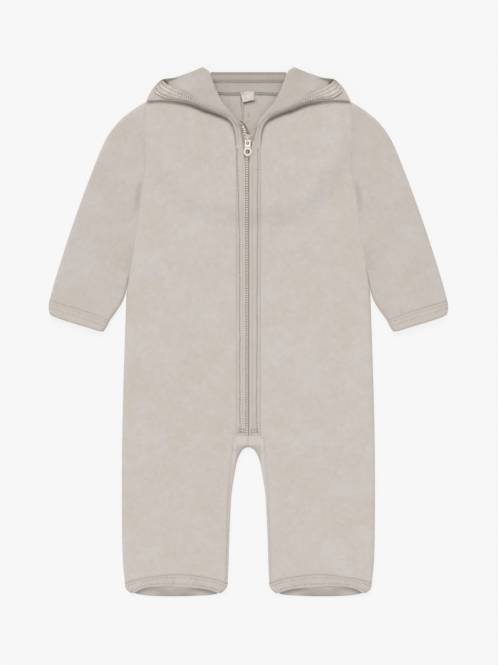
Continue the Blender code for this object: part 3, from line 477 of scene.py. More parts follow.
def graded(width: float, edge: float, step: float, zone: float = 6.0) -> Array:
    """Shares across a width, close together near both ends and wider between.

    Args:
        width: the whole width.
        edge: step near the ends.
        step: step between them.
        zone: how far in the ends reach.

    Returns:
        The shares, from 0 to 1.
    """
    near = np.arange(0, zone, edge)
    middle = np.linspace(zone, width - zone, max(2, int((width - 2 * zone) / step)))
    return np.concatenate([near, middle, width - near[::-1]]) / width


class Noise:
    """Smooth value noise on a square lattice, the same each run."""

    def __init__(self, seed: int, size: int = 128) -> None:
        """Draw the lattice's values from a seeded generator."""
        self.size = size
        self.table = np.random.default_rng(seed).uniform(-1, 1, (size, size))

    def at(self, points: Array, cell: float) -> Array:
        """Noise from -1 to 1: lattice values blended by smoothsteps of the place in a cell.

        Args:
            points: grid whose first two numbers are x and y.
            cell: size of a lattice cell.

        Returns:
            One value for each point.
        """
        x = points[..., 0] / cell
        y = points[..., 1] / cell
        column = np.floor(x).astype(int)
        row = np.floor(y).astype(int)
        right = smoothstep(x - column)
        up = smoothstep(y - row)

        def pick(i: Array, j: Array) -> Array:
            """Values at lattice points, which repeat past the lattice's end."""
            return self.table[i % self.size, j % self.size]

        low = pick(row, column) * (1 - right) + pick(row, column + 1) * right
        high = pick(row + 1, column) * (1 - right) + pick(row + 1, column + 1) * right
        return low * (1 - up) + high * up


@dataclass(frozen=True)
class Crease:
    """A soft ridge or trough: a bell across a straight run, fading at its ends."""
    x: float
    y: float
    end_x: float
    end_y: float
    width: float
    depth: float

    def height(self, points: Array) -> Array:
        """Height of the crease at each point.

        Args:
            points: places, by x and y.

        Returns:
            The heights.
        """
        line = as_array([(self.x, self.y), (self.end_x, self.end_y)])
        step = line[1] - line[0]
        share = np.clip(((points[..., :2] - line[0]) @ step) / (step @ step), 0, 1)
        taper = 0.35 + 0.65 * np.sin(math.pi * share)
        return self.depth * taper * dip(distance(points, line), self.width)


@dataclass(frozen=True)
class Stroke:
    """A soft line along the cloth: how far it is pressed in, and how much shade is painted along it.
    """
    line: Sequence[tuple[float, float]]
    width: float
    depth: float
    shade: float
    fades: bool = False
    uneven: float = 0.25

    def bell(self, points: Array) -> Array:
        """A bell across the line, uneven along it, and fading to its ends if it fades.

        Args:
            points: places, by x and y.

        Returns:
            Its height at each.
        """
        gap, share = nearest(points, dense(self.line, 8))
        strength = 1 - self.uneven * (0.5 + 0.5 * Noise(71).at(points, 3.3))
        if self.fades:
            strength = strength * np.sin(math.pi * np.clip(share, 0.001, 0.999)) ** 0.6
        return dip(gap, self.width) * strength


def press(points: Array, strokes: Sequence[Stroke]) -> tuple[Array, Array]:
    """Depth and painted shade of all the strokes at each point, the greatest where they meet.

    Args:
        points: places, by x and y.
        strokes: the strokes.

    Returns:
        Depths, and painted shades.
    """
    depth = np.zeros(points.shape[:-1])
    shade = np.zeros(points.shape[:-1])
    for stroke in strokes:
        bell = stroke.bell(points)
        depth = np.maximum(depth, stroke.depth * bell)
        shade = np.maximum(shade, stroke.shade * bell)
    return depth, shade


FRONT_CREASES = table(
    Crease, (-117, 158, -84, 173, 7.0, -0.9), (-119, 148, -96, 128, 6.0, -0.6),
    (118, 160, 90, 181, 6.5, -0.8), (120, 150, 93, 133, 7.0, -0.7),
    (-112, 187, -106, 236, 9.0, 0.5), (111, 182, 107, 228, 8.0, 0.45),
    (-17, 131, -49, 139, 6.0, -0.45), (-16, 58, -41, 49, 5.0, -0.4), (17, 92, 55, 84, 7.0, -0.45),
    (16, 21, 38, 27, 5.5, -0.35), (-15, -98, -47, -121, 8.0, -0.8),
    (-20, -124, -58, -150, 7.0, -0.6), (16, -101, 52, -119, 7.0, -0.7),
    (21, -131, 49, -162, 8.0, -0.65), (-137, -64, -92, -71, 9.0, -0.5),
    (136, -38, 101, -52, 8.0, -0.5), (-133, -173, -81, -181, 10.0, -0.55),
    (-36, -198, -71, -212, 9.0, -0.45), (44, -187, 97, -199, 11.0, -0.6),
    (136, -214, 104, -226, 8.0, -0.4), (-64, 64, -92, 98, 14.0, 0.5), (61, -12, 84, 36, 15.0, 0.5),
    (-101, -96, -78, -34, 15.0, 0.45), (71, 141, 96, 206, 13.0, 0.45))
BACK_CREASES = table(
    Crease, (-112, 137, -71, 121, 8.0, 0.7), (109, 131, 80, 112, 7.0, 0.6),
    (-124, -41, -79, -58, 9.0, 0.6), (121, -61, 66, -49, 10.0, 0.7),
    (-44, -117, -88, -134, 8.0, 0.6), (31, -124, 74, -149, 9.0, 0.7),
    (-121, -187, -69, -196, 9.0, 0.5), (48, -203, 112, -214, 11.0, 0.6))
SLEEVE_CREASES = table(
    Crease, (-127, 151, -151, 172, 6.5, -0.9), (-131, 118, -160, 127, 7.0, -0.7),
    (-139, 72, -171, 92, 8.0, -0.6), (-199, 86, -168, 71, 8.0, -0.5),
    (-124, 196, -133, 231, 8.0, 0.5), (126, 153, 148, 169, 6.0, -0.8),
    (131, 127, 158, 133, 8.0, -0.7), (138, 84, 166, 103, 7.0, -0.6),
    (204, 71, 176, 59, 8.0, -0.55), (124, 203, 136, 228, 9.0, 0.5))
LAPEL_CREASES = table(
    Crease, (-44, 262, -71, 281, 7.0, -0.6), (-83, 279, -97, 271, 5.0, -0.5),
    (46, 259, 66, 279, 6.0, -0.55), (85, 277, 99, 269, 5.0, -0.5))


@dataclass(frozen=True)
class Relief:
    """The small heights of one layer of cloth: its creases, swells and nap."""
    creases: tuple[Crease, ...]
    seed: int
    swell: float = 0.22
    nap: float = 0.1
    swell_cell: float = 31.0
    clump_cell: float = 9.0
    nap_cell: float = 4.1

    def height(self, points: Array) -> Array:
        """Sum of creases and of noise in three sizes of cell, at each point.

        Args:
            points: places, by x and y.

        Returns:
            The heights.
        """
        noise = Noise(self.seed)
        total = self.swell * noise.at(points, self.swell_cell)
        total = total + 0.5 * self.swell * noise.at(points + 500, self.clump_cell)
        total = total + self.nap * noise.at(points - 900, self.nap_cell)
        for crease in self.creases:
            total = total + crease.height(points)
        return total


FRONT_RELIEF = Relief(tuple(FRONT_CREASES), 11)
BACK_RELIEF = Relief(tuple(BACK_CREASES), 23, swell=0.12, nap=0.04)
SLEEVE_RELIEF = Relief(tuple(SLEEVE_CREASES), 37)
LAPEL_RELIEF = Relief(tuple(LAPEL_CREASES), 41, swell=0.2, nap=0.09)
BAND_RELIEF = Relief((), 53, swell=0.12, nap=0.07, swell_cell=17.0, clump_cell=5.0, nap_cell=2.3)


# ---- finishes


class Nodes:
    """The node tree of one finish."""

    def __init__(self, name: str) -> None:
        """Make an empty material with an output.

        Args:
            name: the material's name.
        """
        self.material = bpy.data.materials.new(name)
        self.material.use_nodes = True
        self.tree = self.material.node_tree
        self.tree.nodes.clear()
        self.output = self.tree.nodes.new("ShaderNodeOutputMaterial")

    def put(self, socket: bpy.types.NodeSocket, value: Any) -> None:
        """Link a wire to a socket, or set the socket's value.

        Args:
            socket: an input of a node.
            value: a wire, a number or a colour.
        """
        if isinstance(value, Wire):
            self.tree.links.new(value.socket, socket)
        elif isinstance(value, tuple) and len(value) == 3 and socket.type == "RGBA":
            socket.default_value = (*value, 1.0)
        else:
            socket.default_value = value

    def add(self, kind: str, settings: dict[str, Any] | None = None,
            inputs: dict[str | int, Any] | None = None, output: str | int = 0) -> "Wire":
        """Add a node.

        Args:
            kind: the node's type, without its ShaderNode prefix.
            settings: properties of the node, set first.
            inputs: values or wires, by the sockets' names or numbers.
            output: the output socket to return.

        Returns:
            A wire from that output.
        """
        node = self.tree.nodes.new("ShaderNode" + kind)
        for key, value in (settings or {}).items():
            setattr(node, key, value)
        for key, value in (inputs or {}).items():
            self.put(node.inputs[key], value)
        return Wire(self, node.outputs[output])

    def mix(self, share: Any, first: Any, second: Any) -> "Wire":
        """Blend two colours by a share."""
        return self.add("Mix", {"data_type": "RGBA"}, {"Factor": share, 6: first, 7: second}, 2)

    def shade(self, colour: Any, level: Any) -> "Wire":
        """Multiply a colour by a level."""
        return self.add("VectorMath", {"operation": "SCALE"}, {0: colour, "Scale": level})

    def noise(self, place: "Wire", scale: float, detail: float = 3.0,
              rough: float = 0.55) -> "Wire":
        """Noise from 0 to 1 about 0.5; scale is in cells a metre."""
        return self.add("TexNoise", {}, {"Vector": place, "Scale": scale, "Detail": detail,
                                         "Roughness": rough})

    def place(self, offset: Triple = (0.0, 0.0, 0.0),
              stretch: Triple = (1.0, 1.0, 1.0), turn: float = 0.0) -> "Wire":
        """Object coordinates, moved, turned and stretched."""
        spot = self.add("TexCoord", output="Object")
        return self.add("Mapping", {}, {"Vector": spot, "Location": offset, "Scale": stretch,
                                        "Rotation": (0.0, 0.0, turn)})

    def flat(self, axis: str) -> "Wire":
        """The place across (X) or up (Y) the piece's own cloth, in metres, from its UV map."""
        return self.add("SeparateXYZ", {}, {0: self.add("TexCoord", output="UV")}, axis)

    def seam_shade(self) -> "Wire":
        """Painted shade that the mesh carries at each point: how much darker seams, hollows and
        shadows are coloured, or how much lighter where it is below 0.
        """
        return self.add("Attribute", {"attribute_name": "shade"}, output="Fac")

    def bump(self, height: "Wire", strength: float, depth: float) -> "Wire":
        """A normal from a height, whose full range is depth metres."""
        return self.add("Bump", {}, {"Height": height, "Strength": strength, "Distance": depth})

    def finish(self, inputs: dict[str | int, Any]) -> Material:
        """Add the shader, which finishes the material.

        Args:
            inputs: the shader's inputs.

        Returns:
            The material.
        """
        shader = self.add("BsdfPrincipled", {}, inputs)
        self.tree.links.new(shader.socket, self.output.inputs["Surface"])
        return self.material


@dataclass(frozen=True)
class Wire:
    """A socket whose arithmetic adds Math nodes."""
    nodes: Nodes
    socket: bpy.types.NodeSocket

    def math(self, operation: str, *values: Any) -> "Wire":
        """Add a Math node with this operation and these values."""
        return self.nodes.add("Math", {"operation": operation}, dict(enumerate(values)))

    def __add__(self, other: Any) -> "Wire":
        """Sum."""
        return self.math("ADD", self, other)

    __radd__ = __add__

    def __mul__(self, other: Any) -> "Wire":
        """Product."""
        return self.math("MULTIPLY", self, other)

    __rmul__ = __mul__

    def __sub__(self, other: Any) -> "Wire":
        """Difference."""
        return self.math("SUBTRACT", self, other)

    def __rsub__(self, other: Any) -> "Wire":
        """Difference from a number."""
        return self.math("SUBTRACT", other, self)

    def wave(self) -> "Wire":
        """Sine."""
        return self.math("SINE", self)

    def clear(self, low: float, high: float) -> "Wire":
        """Share of the way from low to high, kept from 0 to 1."""
        return self.nodes.add("MapRange", {"interpolation_type": "SMOOTHSTEP"},
                              {"Value": self, "From Min": low, "From Max": high})


@dataclass(frozen=True)
class Fleece:
    """Brushed melange fleece: two yarn tones in soft blotches, under a short matt nap."""
    name: str
    warm: Triple = (0.651, 0.592, 0.526)
    cool: Triple = (0.640, 0.585, 0.550)
    level: float = 1.0
    offset: Triple = (0.0, 0.0, 0.0)
    # colour that the cloth turns to where shade is painted
    deep: Triple = (0.690, 0.585, 0.480)
    shade_strength: float = 0.16
    nap_depth: float = 0.0009

    def material(self) -> Material:
        """Blotches of 45, 14 and 5 mm, flecks of 1 mm, and painted shade: darker, browner cloth in
        seams, hollows and shadows, as the mesh's shade says.

        Returns:
            The material.
        """
        nodes = Nodes(self.name)
        place = nodes.place(self.offset)
        broad = nodes.noise(place, 22.0, 2.0)
        blotch = nodes.noise(place, 70.0, 3.0)
        patch = nodes.noise(place, 200.0, 3.0)
        fibre = nodes.noise(nodes.place(self.offset, (1.0, 0.45, 1.0), 0.5), 1100.0, 4.0, 0.7)
        cross = nodes.noise(nodes.place(self.offset, (0.4, 1.0, 1.0), -0.4), 1500.0, 3.0, 0.7)
        tone = (blotch * 0.6 + broad * 0.4).clear(0.36, 0.64)
        # seam here is the mesh's painted shade, which darkens the colour and tints it towards the
        # shade colour
        seam = nodes.seam_shade()
        colour = nodes.mix(seam.clear(0.6, 4.0), nodes.mix(tone, self.warm, self.cool), self.deep)
        swirl = (broad - 0.5) * 0.11 + (blotch - 0.5) * 0.13 + (patch - 0.5) * 0.16
        fleck = (fibre - 0.5) * 0.27 + (cross - 0.5) * 0.20
        level = (swirl + fleck + 1.0) * (1.0 - seam * self.shade_strength) * self.level
        height = fibre * 0.45 + cross * 0.3 + patch * 0.25
        return nodes.finish({
            "Base Color": nodes.shade(colour, level), "Roughness": 0.96,
            "Specular IOR Level": 0.15, "Sheen Weight": 0.18, "Sheen Roughness": 0.55,
            "Sheen Tint": (1.0, 0.97, 0.94), "Normal": nodes.bump(height, 0.5, self.nap_depth)})


@dataclass(frozen=True)
class Band:
    """The same fleece, folded into a band, with fine ribs across it."""
    name: str
    colour: Triple = (0.676, 0.616, 0.572)
    # colour that the band turns to where shade is painted
    deep: Triple = (0.690, 0.585, 0.490)
    rib_pitch: float = 0.0021
    rib: float = 0.5

    def material(self) -> Material:
        """Ribs as a sine along the band's own u, over the cloth's flecks, painted lighter on their
        crests, and painted shade from the mesh.

        Returns:
            The material.
        """
        nodes = Nodes(self.name)
        place = nodes.place((0.31, 0.07, 0.0))
        blotch = nodes.noise(place, 80.0, 3.0)
        fibre = nodes.noise(nodes.place((0.2, 0.1, 0.0), (1.0, 0.5, 1.0), 0.3), 1200.0, 4.0, 0.7)
        wobble = nodes.noise(place, 160.0, 2.0)
        turns = nodes.flat("X") * (2 * math.pi / self.rib_pitch) + wobble * 3.0
        rib = turns.wave() * 0.5 + 0.5
        # seam here is the mesh's painted shade; the ribs are also painted lighter on their crests
        # and darker between them
        seam = nodes.seam_shade()
        level = (blotch - 0.5) * 0.12 + (fibre - 0.5) * 0.24 + rib * 0.16 * self.rib + 0.96
        colour = nodes.mix(seam.clear(0.7, 2.6), self.colour, self.deep)
        height = fibre * 0.5 + rib * self.rib
        return nodes.finish({
            "Base Color": nodes.shade(colour, level * (1.0 - seam * 0.2)), "Roughness": 0.94,
            "Specular IOR Level": 0.18, "Sheen Weight": 0.14, "Sheen Roughness": 0.55,
            "Normal": nodes.bump(height, 0.5, 0.0006)})


@dataclass(frozen=True)
class Thread:
    """Spun polyester sewing thread."""
    name: str = "thread"
    colour: Triple = (0.700, 0.635, 0.575)

    def material(self) -> Material:
        """Fine slanted plies, and a slow change of tone from stitch to stitch.

        Returns:
            The material.
        """
        nodes = Nodes(self.name)
        ply = nodes.noise(nodes.place(stretch=(1.0, 0.3, 1.0), turn=0.7), 2600.0, 2.0)
        tone = nodes.noise(nodes.place(), 300.0, 2.0)
        level = (ply - 0.5) * 0.3 + (tone - 0.5) * 0.16 + 1.0
        return nodes.finish({
            "Base Color": nodes.shade(self.colour, level), "Roughness": 0.62,
            "Specular IOR Level": 0.35, "Sheen Weight": 0.1,
            "Normal": nodes.bump(ply, 0.4, 0.0002)})


@dataclass(frozen=True)
class NeedleHole:
    """A near-black dish: painted shade in the pit where a stitch dives into the pile."""
    name: str = "needle_hole"
    colour: Triple = (0.062, 0.046, 0.036)

    def material(self) -> Material:
        """Darkness that differs from pit to pit.

        Returns:
            The material.
        """
        nodes = Nodes(self.name)
        tone = nodes.noise(nodes.place(), 260.0, 2.0)
        return nodes.finish({
            "Base Color": nodes.shade(self.colour, tone * 1.6 + 0.2), "Roughness": 1.0,
            "Specular IOR Level": 0.0, "Normal": nodes.bump(tone, 0.2, 0.0002)})


@dataclass(frozen=True)
class Ribbon:
    """A woven ribbon: a zip's tape in herringbone, or a label in satin."""
    name: str
    colour: Triple
    pitch: float = 0.0007
    contrast: float = 0.14
    rough: float = 0.8

    def material(self) -> Material:
        """Two crossed sines on the ribbon's own u and v make the weave, and the mesh's painted shade
        darkens or lightens it.

        Returns:
            The material.
        """
        nodes = Nodes(self.name)
        across, up = nodes.flat("X"), nodes.flat("Y")
        turn = 2 * math.pi / self.pitch
        weft = (across * turn + up * turn * 0.5).wave()
        warp = (across * turn * 0.5 - up * turn).wave()
        weave = weft * warp * 0.5 + 0.5
        tone = nodes.noise(nodes.place(), 180.0, 3.0)
        # seam here is the mesh's painted shade
        seam = nodes.seam_shade()
        level = (weave - 0.5) * self.contrast + (tone - 0.5) * 0.12 + 1.0
        level = level * (1.0 - seam * 0.2)
        return nodes.finish({
            "Base Color": nodes.shade(self.colour, level), "Roughness": self.rough,
            "Specular IOR Level": 0.3, "Normal": nodes.bump(weave, 0.35, 0.00025)})


@dataclass(frozen=True)
class Moulded:
    """Satin moulded resin of the zip's teeth."""
    name: str = "zip_teeth"
    colour: Triple = (0.97, 0.92, 0.86)

    def material(self) -> Material:
        """A faint cloud in the colour and in the gloss.

        Returns:
            The material.
        """
        nodes = Nodes(self.name)
        cloud = nodes.noise(nodes.place(), 500.0, 3.0)
        return nodes.finish({
            "Base Color": nodes.shade(self.colour, (cloud - 0.5) * 0.15 + 1.0),
            "Roughness": cloud * 0.2 + 0.32, "Specular IOR Level": 0.5,
            "Normal": nodes.bump(cloud, 0.15, 0.0002)})


@dataclass(frozen=True)
class PaleMetal:
    """Zinc casting with a satin, slightly warm plating, painted darker low down and brighter high
    up, as shade and light fall on it.
    """
    name: str = "pale_metal"
    colour: Triple = (0.99, 0.915, 0.845)
    # heights in metres across which the painted light rises from dull to bright
    low: float = 0.0140
    high: float = 0.0160

    def material(self) -> Material:
        """Fine grain from the barrel polish, a cloudy gloss, and painted shade on the low sides and
        recesses.

        Returns:
            The material.
        """
        nodes = Nodes(self.name)
        place = nodes.place()
        rise = nodes.add("SeparateXYZ", {}, {0: place}, "Z")
        # painted light: 0 low down, where shade is painted, and 1 high up
        painted_light_by_height = rise.clear(self.low, self.high)
        grain = nodes.noise(place, 4200.0, 3.0, 0.7)
        cloud = nodes.noise(place, 420.0, 3.0)
        level = ((cloud - 0.5) * 0.16 + 1.0) * (painted_light_by_height * 0.42 + 0.58)
        return nodes.finish({
            "Base Color": nodes.shade(self.colour, level),
            "Metallic": 1.0, "Roughness": cloud * 0.22 + grain * 0.08 + 0.22,
            "Normal": nodes.bump(grain, 0.12, 0.0001)})


@dataclass(frozen=True)
class Table:
    """The pale floor, lit a little from within as a light table is."""
    name: str = "pale_floor"
    colour: Triple = (0.13, 0.13, 0.13)
    glow: float = 0.803

    def material(self) -> Material:
        """An even matt white."""
        nodes = Nodes(self.name)
        return nodes.finish({"Base Color": self.colour, "Roughness": 0.9,
                             "Specular IOR Level": 0.1, "Emission Color": (1.0, 1.0, 1.0),
                             "Emission Strength": self.glow})


# ---- meshes


def smooth_mesh(name: str, points: Array, faces: list[list[int]]) -> Mesh:
    """Make a smoothly shaded mesh.

    Args:
        name: the mesh's name.
        points: its points, in millimetres.
        faces: its faces, as point numbers.

    Returns:
        The mesh, in metres.
    """
    mesh = bpy.data.meshes.new(name)
    mesh.from_pydata((points.reshape(-1, 3) * MM).tolist(), [], faces)
    mesh.shade_smooth()
    return mesh


def repeated(faces: list[list[int]], copies: int, size: int) -> list[list[int]]:
    """The faces of many copies of a shape that has this many points."""
    start = np.arange(copies)[:, None] * size
    return [row for face in faces for row in (start + np.array(face)[None]).tolist()]


class Wall:
    """A wall of cloth inside a grid of outer points.

    The inner side is the outer one moved in along its normals. At a rolled rim
    (level) the normal is kept level, and at a cut edge (upright) it is kept
    upright, so that two walls meet cleanly.
    """

    def __init__(self, grid: Array, wall: float = WALL, side: Side = Side.RIGHT,
                 ring: bool = False, faces_up: bool = True, probe: tuple[int, int] = (0, 1),
                 level: Array | None = None, upright: Array | None = None,
                 shade: Array | None = None) -> None:
        """Keep the grid in the order in which its faces point out.

        Args:
            grid: the outer points, by row and column.
            wall: the cloth's thickness.
            side: which half it lies on.
            ring: whether the columns close into a tube.
            faces_up: whether the face at the probe points up.
            probe: row and column of that face.
            level: where the rim is rolled.
            upright: where the edge is cut.
            shade: the painted shade at each point.
        """
        nowhere = np.zeros(grid.shape[:2], dtype=bool)
        self.points = grid * [side.value, 1, 1]
        self.wall = wall
        self.ring = ring
        self.level = nowhere if level is None else level
        self.upright = nowhere if upright is None else upright
        self.shade = np.zeros(grid.shape[:2]) if shade is None else shade
        row, column = probe
        across = self.points[row, column + 1] - self.points[row, column]
        upward = self.points[row + 1, column] - self.points[row, column]
        self.flipped = (np.cross(across, upward)[2] > 0) != faces_up
        if self.flipped:
            for name in ("points", "level", "upright", "shade"):
                setattr(self, name, getattr(self, name)[::-1])

    def normals(self) -> Array:
        """Unit normals: the cross product of the directions across and up the grid.

        Returns:
            A normal for each point.
        """
        points = self.points
        out = self.shared(np.diff(closed(points) if self.ring else points, axis=1), 1, self.ring)
        normals = np.cross(out, self.shared(np.diff(points, axis=0), 0, False))
        normals[self.level, 2] = 0.0
        normals[self.upright, :2] = 0.0
        normals = unit(normals)
        if self.ring:
            for end in (0, -1):
                normals[end] = self.square_end(points[end], normals[end])
        return normals

    @staticmethod
    def shared(steps: Array, axis: int, ring: bool) -> Array:
        """Direction at each point: the sum of the unit steps on either side of it.

        Args:
            steps: steps from point to point.
            axis: the axis that they follow.
            ring: whether they close.

        Returns:
            The directions.
        """
        steps = unit(steps)
        if ring:
            return steps + np.roll(steps, 1, axis=axis)
        first = np.take(steps, [0], axis=axis)
        last = np.take(steps, [-1], axis=axis)
        return (np.concatenate([first, steps], axis=axis)
                + np.concatenate([steps, last], axis=axis))

    @staticmethod
    def square_end(ring: Array, normals: Array) -> Array:
        """Normals of a flat tube's end, kept in the upright face of its cut line.

        Args:
            ring: the end's points.
            normals: their normals so far.

        Returns:
            The new normals.
        """
        half = len(ring) // 2 + 1
        line = np.gradient(ring[:half, :2], axis=0)
        line = unit(np.concatenate([line, line[-2:0:-1]]))
        aside = np.column_stack([-line[:, 1], line[:, 0], np.zeros(len(line))])
        steps = unit(np.roll(ring, -1, axis=0) - ring)
        square = unit(np.cross(steps + np.roll(steps, 1, axis=0), aside))
        return square * np.sign((square * normals).sum())

    @staticmethod
    def quads(low: Array, high: Array) -> Array:
        """Faces between two rows of point numbers, or two stacks of rows."""
        return np.stack([low[..., :-1], low[..., 1:], high[..., 1:], high[..., :-1]],
                        axis=-1).reshape(-1, 4)

    def faces(self, number: Array, under: Array) -> Array:
        """Every face: the outer side, the inner side and the cut edges.

        Args:
            number: numbers of the outer points, by row and column.
            under: numbers of the inner points.

        Returns:
            The faces.
        """
        parts = [self.quads(number[:-1], number[1:]), self.quads(under[1:], under[:-1]),
                 self.quads(under[0], number[0]), self.quads(number[-1], under[-1])]
        if not self.ring:
            parts.append(self.quads(number[:, 0], under[:, 0]))
            parts.append(self.quads(under[:, -1], number[:, -1]))
        return np.concatenate(parts)

    def flat_place(self) -> Array:
        """U and v of each point in metres: the run across its row and up its column.

        Returns:
            Both, by row and column.
        """
        points = closed(self.points) if self.ring else self.points
        step_u = np.linalg.norm(np.diff(points, axis=1), axis=2).mean(axis=0)
        step_v = np.linalg.norm(np.diff(points, axis=0), axis=2).mean(axis=1)
        u = np.concatenate([[0.0], np.cumsum(step_u)])
        v = np.concatenate([[0.0], np.cumsum(step_v)])
        return np.stack(np.meshgrid(u, v), axis=-1) * MM

    def mesh(self, name: str) -> Mesh:
        """Make the closed mesh, with its UV map in metres and its painted shade.

        Args:
            name: the mesh's name.

        Returns:
            The mesh.
        """
        inner = self.points - self.wall * self.normals()
        rows, columns = self.points.shape[:2]
        number = np.arange(rows * columns).reshape(rows, columns)
        place = self.flat_place()
        spot = np.arange(place.shape[0] * place.shape[1]).reshape(place.shape[:2])
        if self.ring:
            number = closed(number)
        faces = self.faces(number, number + rows * columns)
        spots = self.faces(spot, spot)
        vertices = np.concatenate([self.points.reshape(-1, 3), inner.reshape(-1, 3)]) * MM
        mesh = bpy.data.meshes.new(name)
        mesh.from_pydata(vertices.tolist(), [], faces.tolist())
        layer = mesh.uv_layers.new(name="flat")
        layer.data.foreach_set("uv", place.reshape(-1, 2)[spots.ravel()].ravel())
        # painted shade at each point, the same on both sides of the wall
        shade = mesh.attributes.new("shade", "FLOAT", "POINT")
        shade.data.foreach_set("value", np.tile(self.shade.ravel(), 2).astype(np.float32))
        mesh.shade_smooth()
        mesh.set_sharp_from_angle(angle=math.radians(55))
        return mesh

    def path(self, row: Array | float, column: Array | float) -> Array:
        """Points on the outer side at shares of the rows and columns, as first given.

        Args:
            row: share of the rows, for each point or for all.
            column: share of the columns.

        Returns:
            The points.
        """
        row, column = np.broadcast_arrays(np.asarray(row, float), np.asarray(column, float))
        row = 1 - row if self.flipped else row
        i = np.clip(row, 0, 1) * (self.points.shape[0] - 1)
        j = np.clip(column, 0, 1) * (self.points.shape[1] - 1)
        low_i = np.minimum(i.astype(int), self.points.shape[0] - 2)
        low_j = np.minimum(j.astype(int), self.points.shape[1] - 2)
        up = (i - low_i)[:, None]
        out = (j - low_j)[:, None]
        grid = self.points
        low = grid[low_i, low_j] * (1 - out) + grid[low_i, low_j + 1] * out
        high = grid[low_i + 1, low_j] * (1 - out) + grid[low_i + 1, low_j + 1] * out
        return low * (1 - up) + high * up

    def front_end(self) -> float:
        """Share of the columns of a flat tube at which its front ends."""
        return (self.points.shape[1] // 2) / (self.points.shape[1] - 1)


@dataclass(frozen=True)
class Stitches:
    """Rows of stitches: short threads that dive into the cloth at both ends."""
    pitch: float = 2.9
    length: float = 2.3
    radius: float = 0.27
    sink: float = 0.3
    slant: float = 0.0
    sides: int = 5
    hole: float = 0.45

    def template(self) -> tuple[Array, Array]:
        """One stitch along x: rings whose radius is an ellipse's, bent down at the ends.

        Returns:
            Its points, and its faces as point numbers.
        """
        share = np.array([-0.96, -0.5, 0.5, 0.96])
        radius = self.radius * np.sqrt(1 - share ** 4)
        angle = np.linspace(0, 2 * math.pi, self.sides, endpoint=False)
        x = np.repeat(share * self.length / 2, self.sides)
        y = np.outer(radius, np.cos(angle)).ravel()
        z = np.outer(radius, np.sin(angle)).ravel() - np.repeat(self.sink * share ** 2,
                                                                self.sides)
        number = closed(np.arange(len(x)).reshape(len(share), self.sides))
        return np.column_stack([x, y, z]), Wall.quads(number[1:], number[:-1])

    def frames(self, path: Array, shares: Array) -> tuple[Array, Array]:
        """Places on a path at the given shares, and three axes at each: on, across, up.

        Args:
            path: points on the cloth.
            shares: shares of the path's length.

        Returns:
            The places, and the axes.
        """
        total = lengths(path)[-1]
        tangent = unit(along(path, np.minimum(shares + 0.3 / total, 1))
                       - along(path, np.maximum(shares - 0.3 / total, 0)))
        across = unit(np.cross([0.0, 0.0, 1.0], tangent))
        return along(path, shares), np.stack([tangent, across, np.cross(tangent, across)],
                                             axis=1)

    def repeat(self, name: str, paths: Sequence[Array], shape: Array, faces: list[list[int]],
               between: bool) -> Mesh:
        """Copy a small shape along paths, at each stitch or between the stitches.

        Args:
            name: the mesh's name.
            paths: lines of points on the cloth, in millimetres.
            shape: the small shape's points, with x along the path and z up.
            faces: its faces.
            between: whether it goes where two stitches meet.

        Returns:
            One mesh of all the copies.
        """
        places = []
        for path in paths:
            count = max(2, int(lengths(path)[-1] / self.pitch))
            shares = np.arange(count + 1) / count if between else (np.arange(count) + 0.5) / count
            spot, axes = self.frames(path, shares)
            places.append(spot[:, None] + np.einsum("vk,nkc->nvc", shape, axes))
        points = np.concatenate(places)
        return smooth_mesh(name, points, repeated(faces, len(points), len(shape)))

    def thread(self, name: str, paths: Sequence[Array]) -> Mesh:
        """The threads on top of the cloth.

        Args:
            name: the mesh's name.
            paths: lines of points on the cloth.

        Returns:
            The mesh.
        """
        shape, faces = self.template()
        turn = np.array([[math.cos(self.slant), math.sin(self.slant), 0],
                         [-math.sin(self.slant), math.cos(self.slant), 0], [0, 0, 1]])
        ends = [list(range(self.sides)),
                list(range(len(shape) - self.sides, len(shape)))[::-1]]
        return self.repeat(name, paths, shape @ turn, faces.tolist() + ends, False)

    def holes(self, name: str, paths: Sequence[Array]) -> Mesh:
        """A six-sided dish at each needle hole, coloured dark as painted shade in the hole: its rim
        round, its middle a little lower.

        Args:
            name: the mesh's name.
            paths: lines of points on the cloth.

        Returns:
            The mesh.
        """
        angle = np.linspace(0, 2 * math.pi, 6, endpoint=False)
        rim = np.column_stack([0.8 * self.hole * np.cos(angle), self.hole * np.sin(angle),
                               np.full(6, 0.2)])
        shape = np.vstack([rim, [0, 0, 0.04]])
        faces = [[number, (number + 1) % 6, 6] for number in range(6)]
        return self.repeat(name, paths, shape, faces, True)


@dataclass
class Cut:
    """The flat cut of a piece of cloth that shows, in metres, and how it lies."""
    width: float
    length: float
    area: float
    held: Held = Held.LAID
    rests_on: tuple[str, ...] = ("floor",)


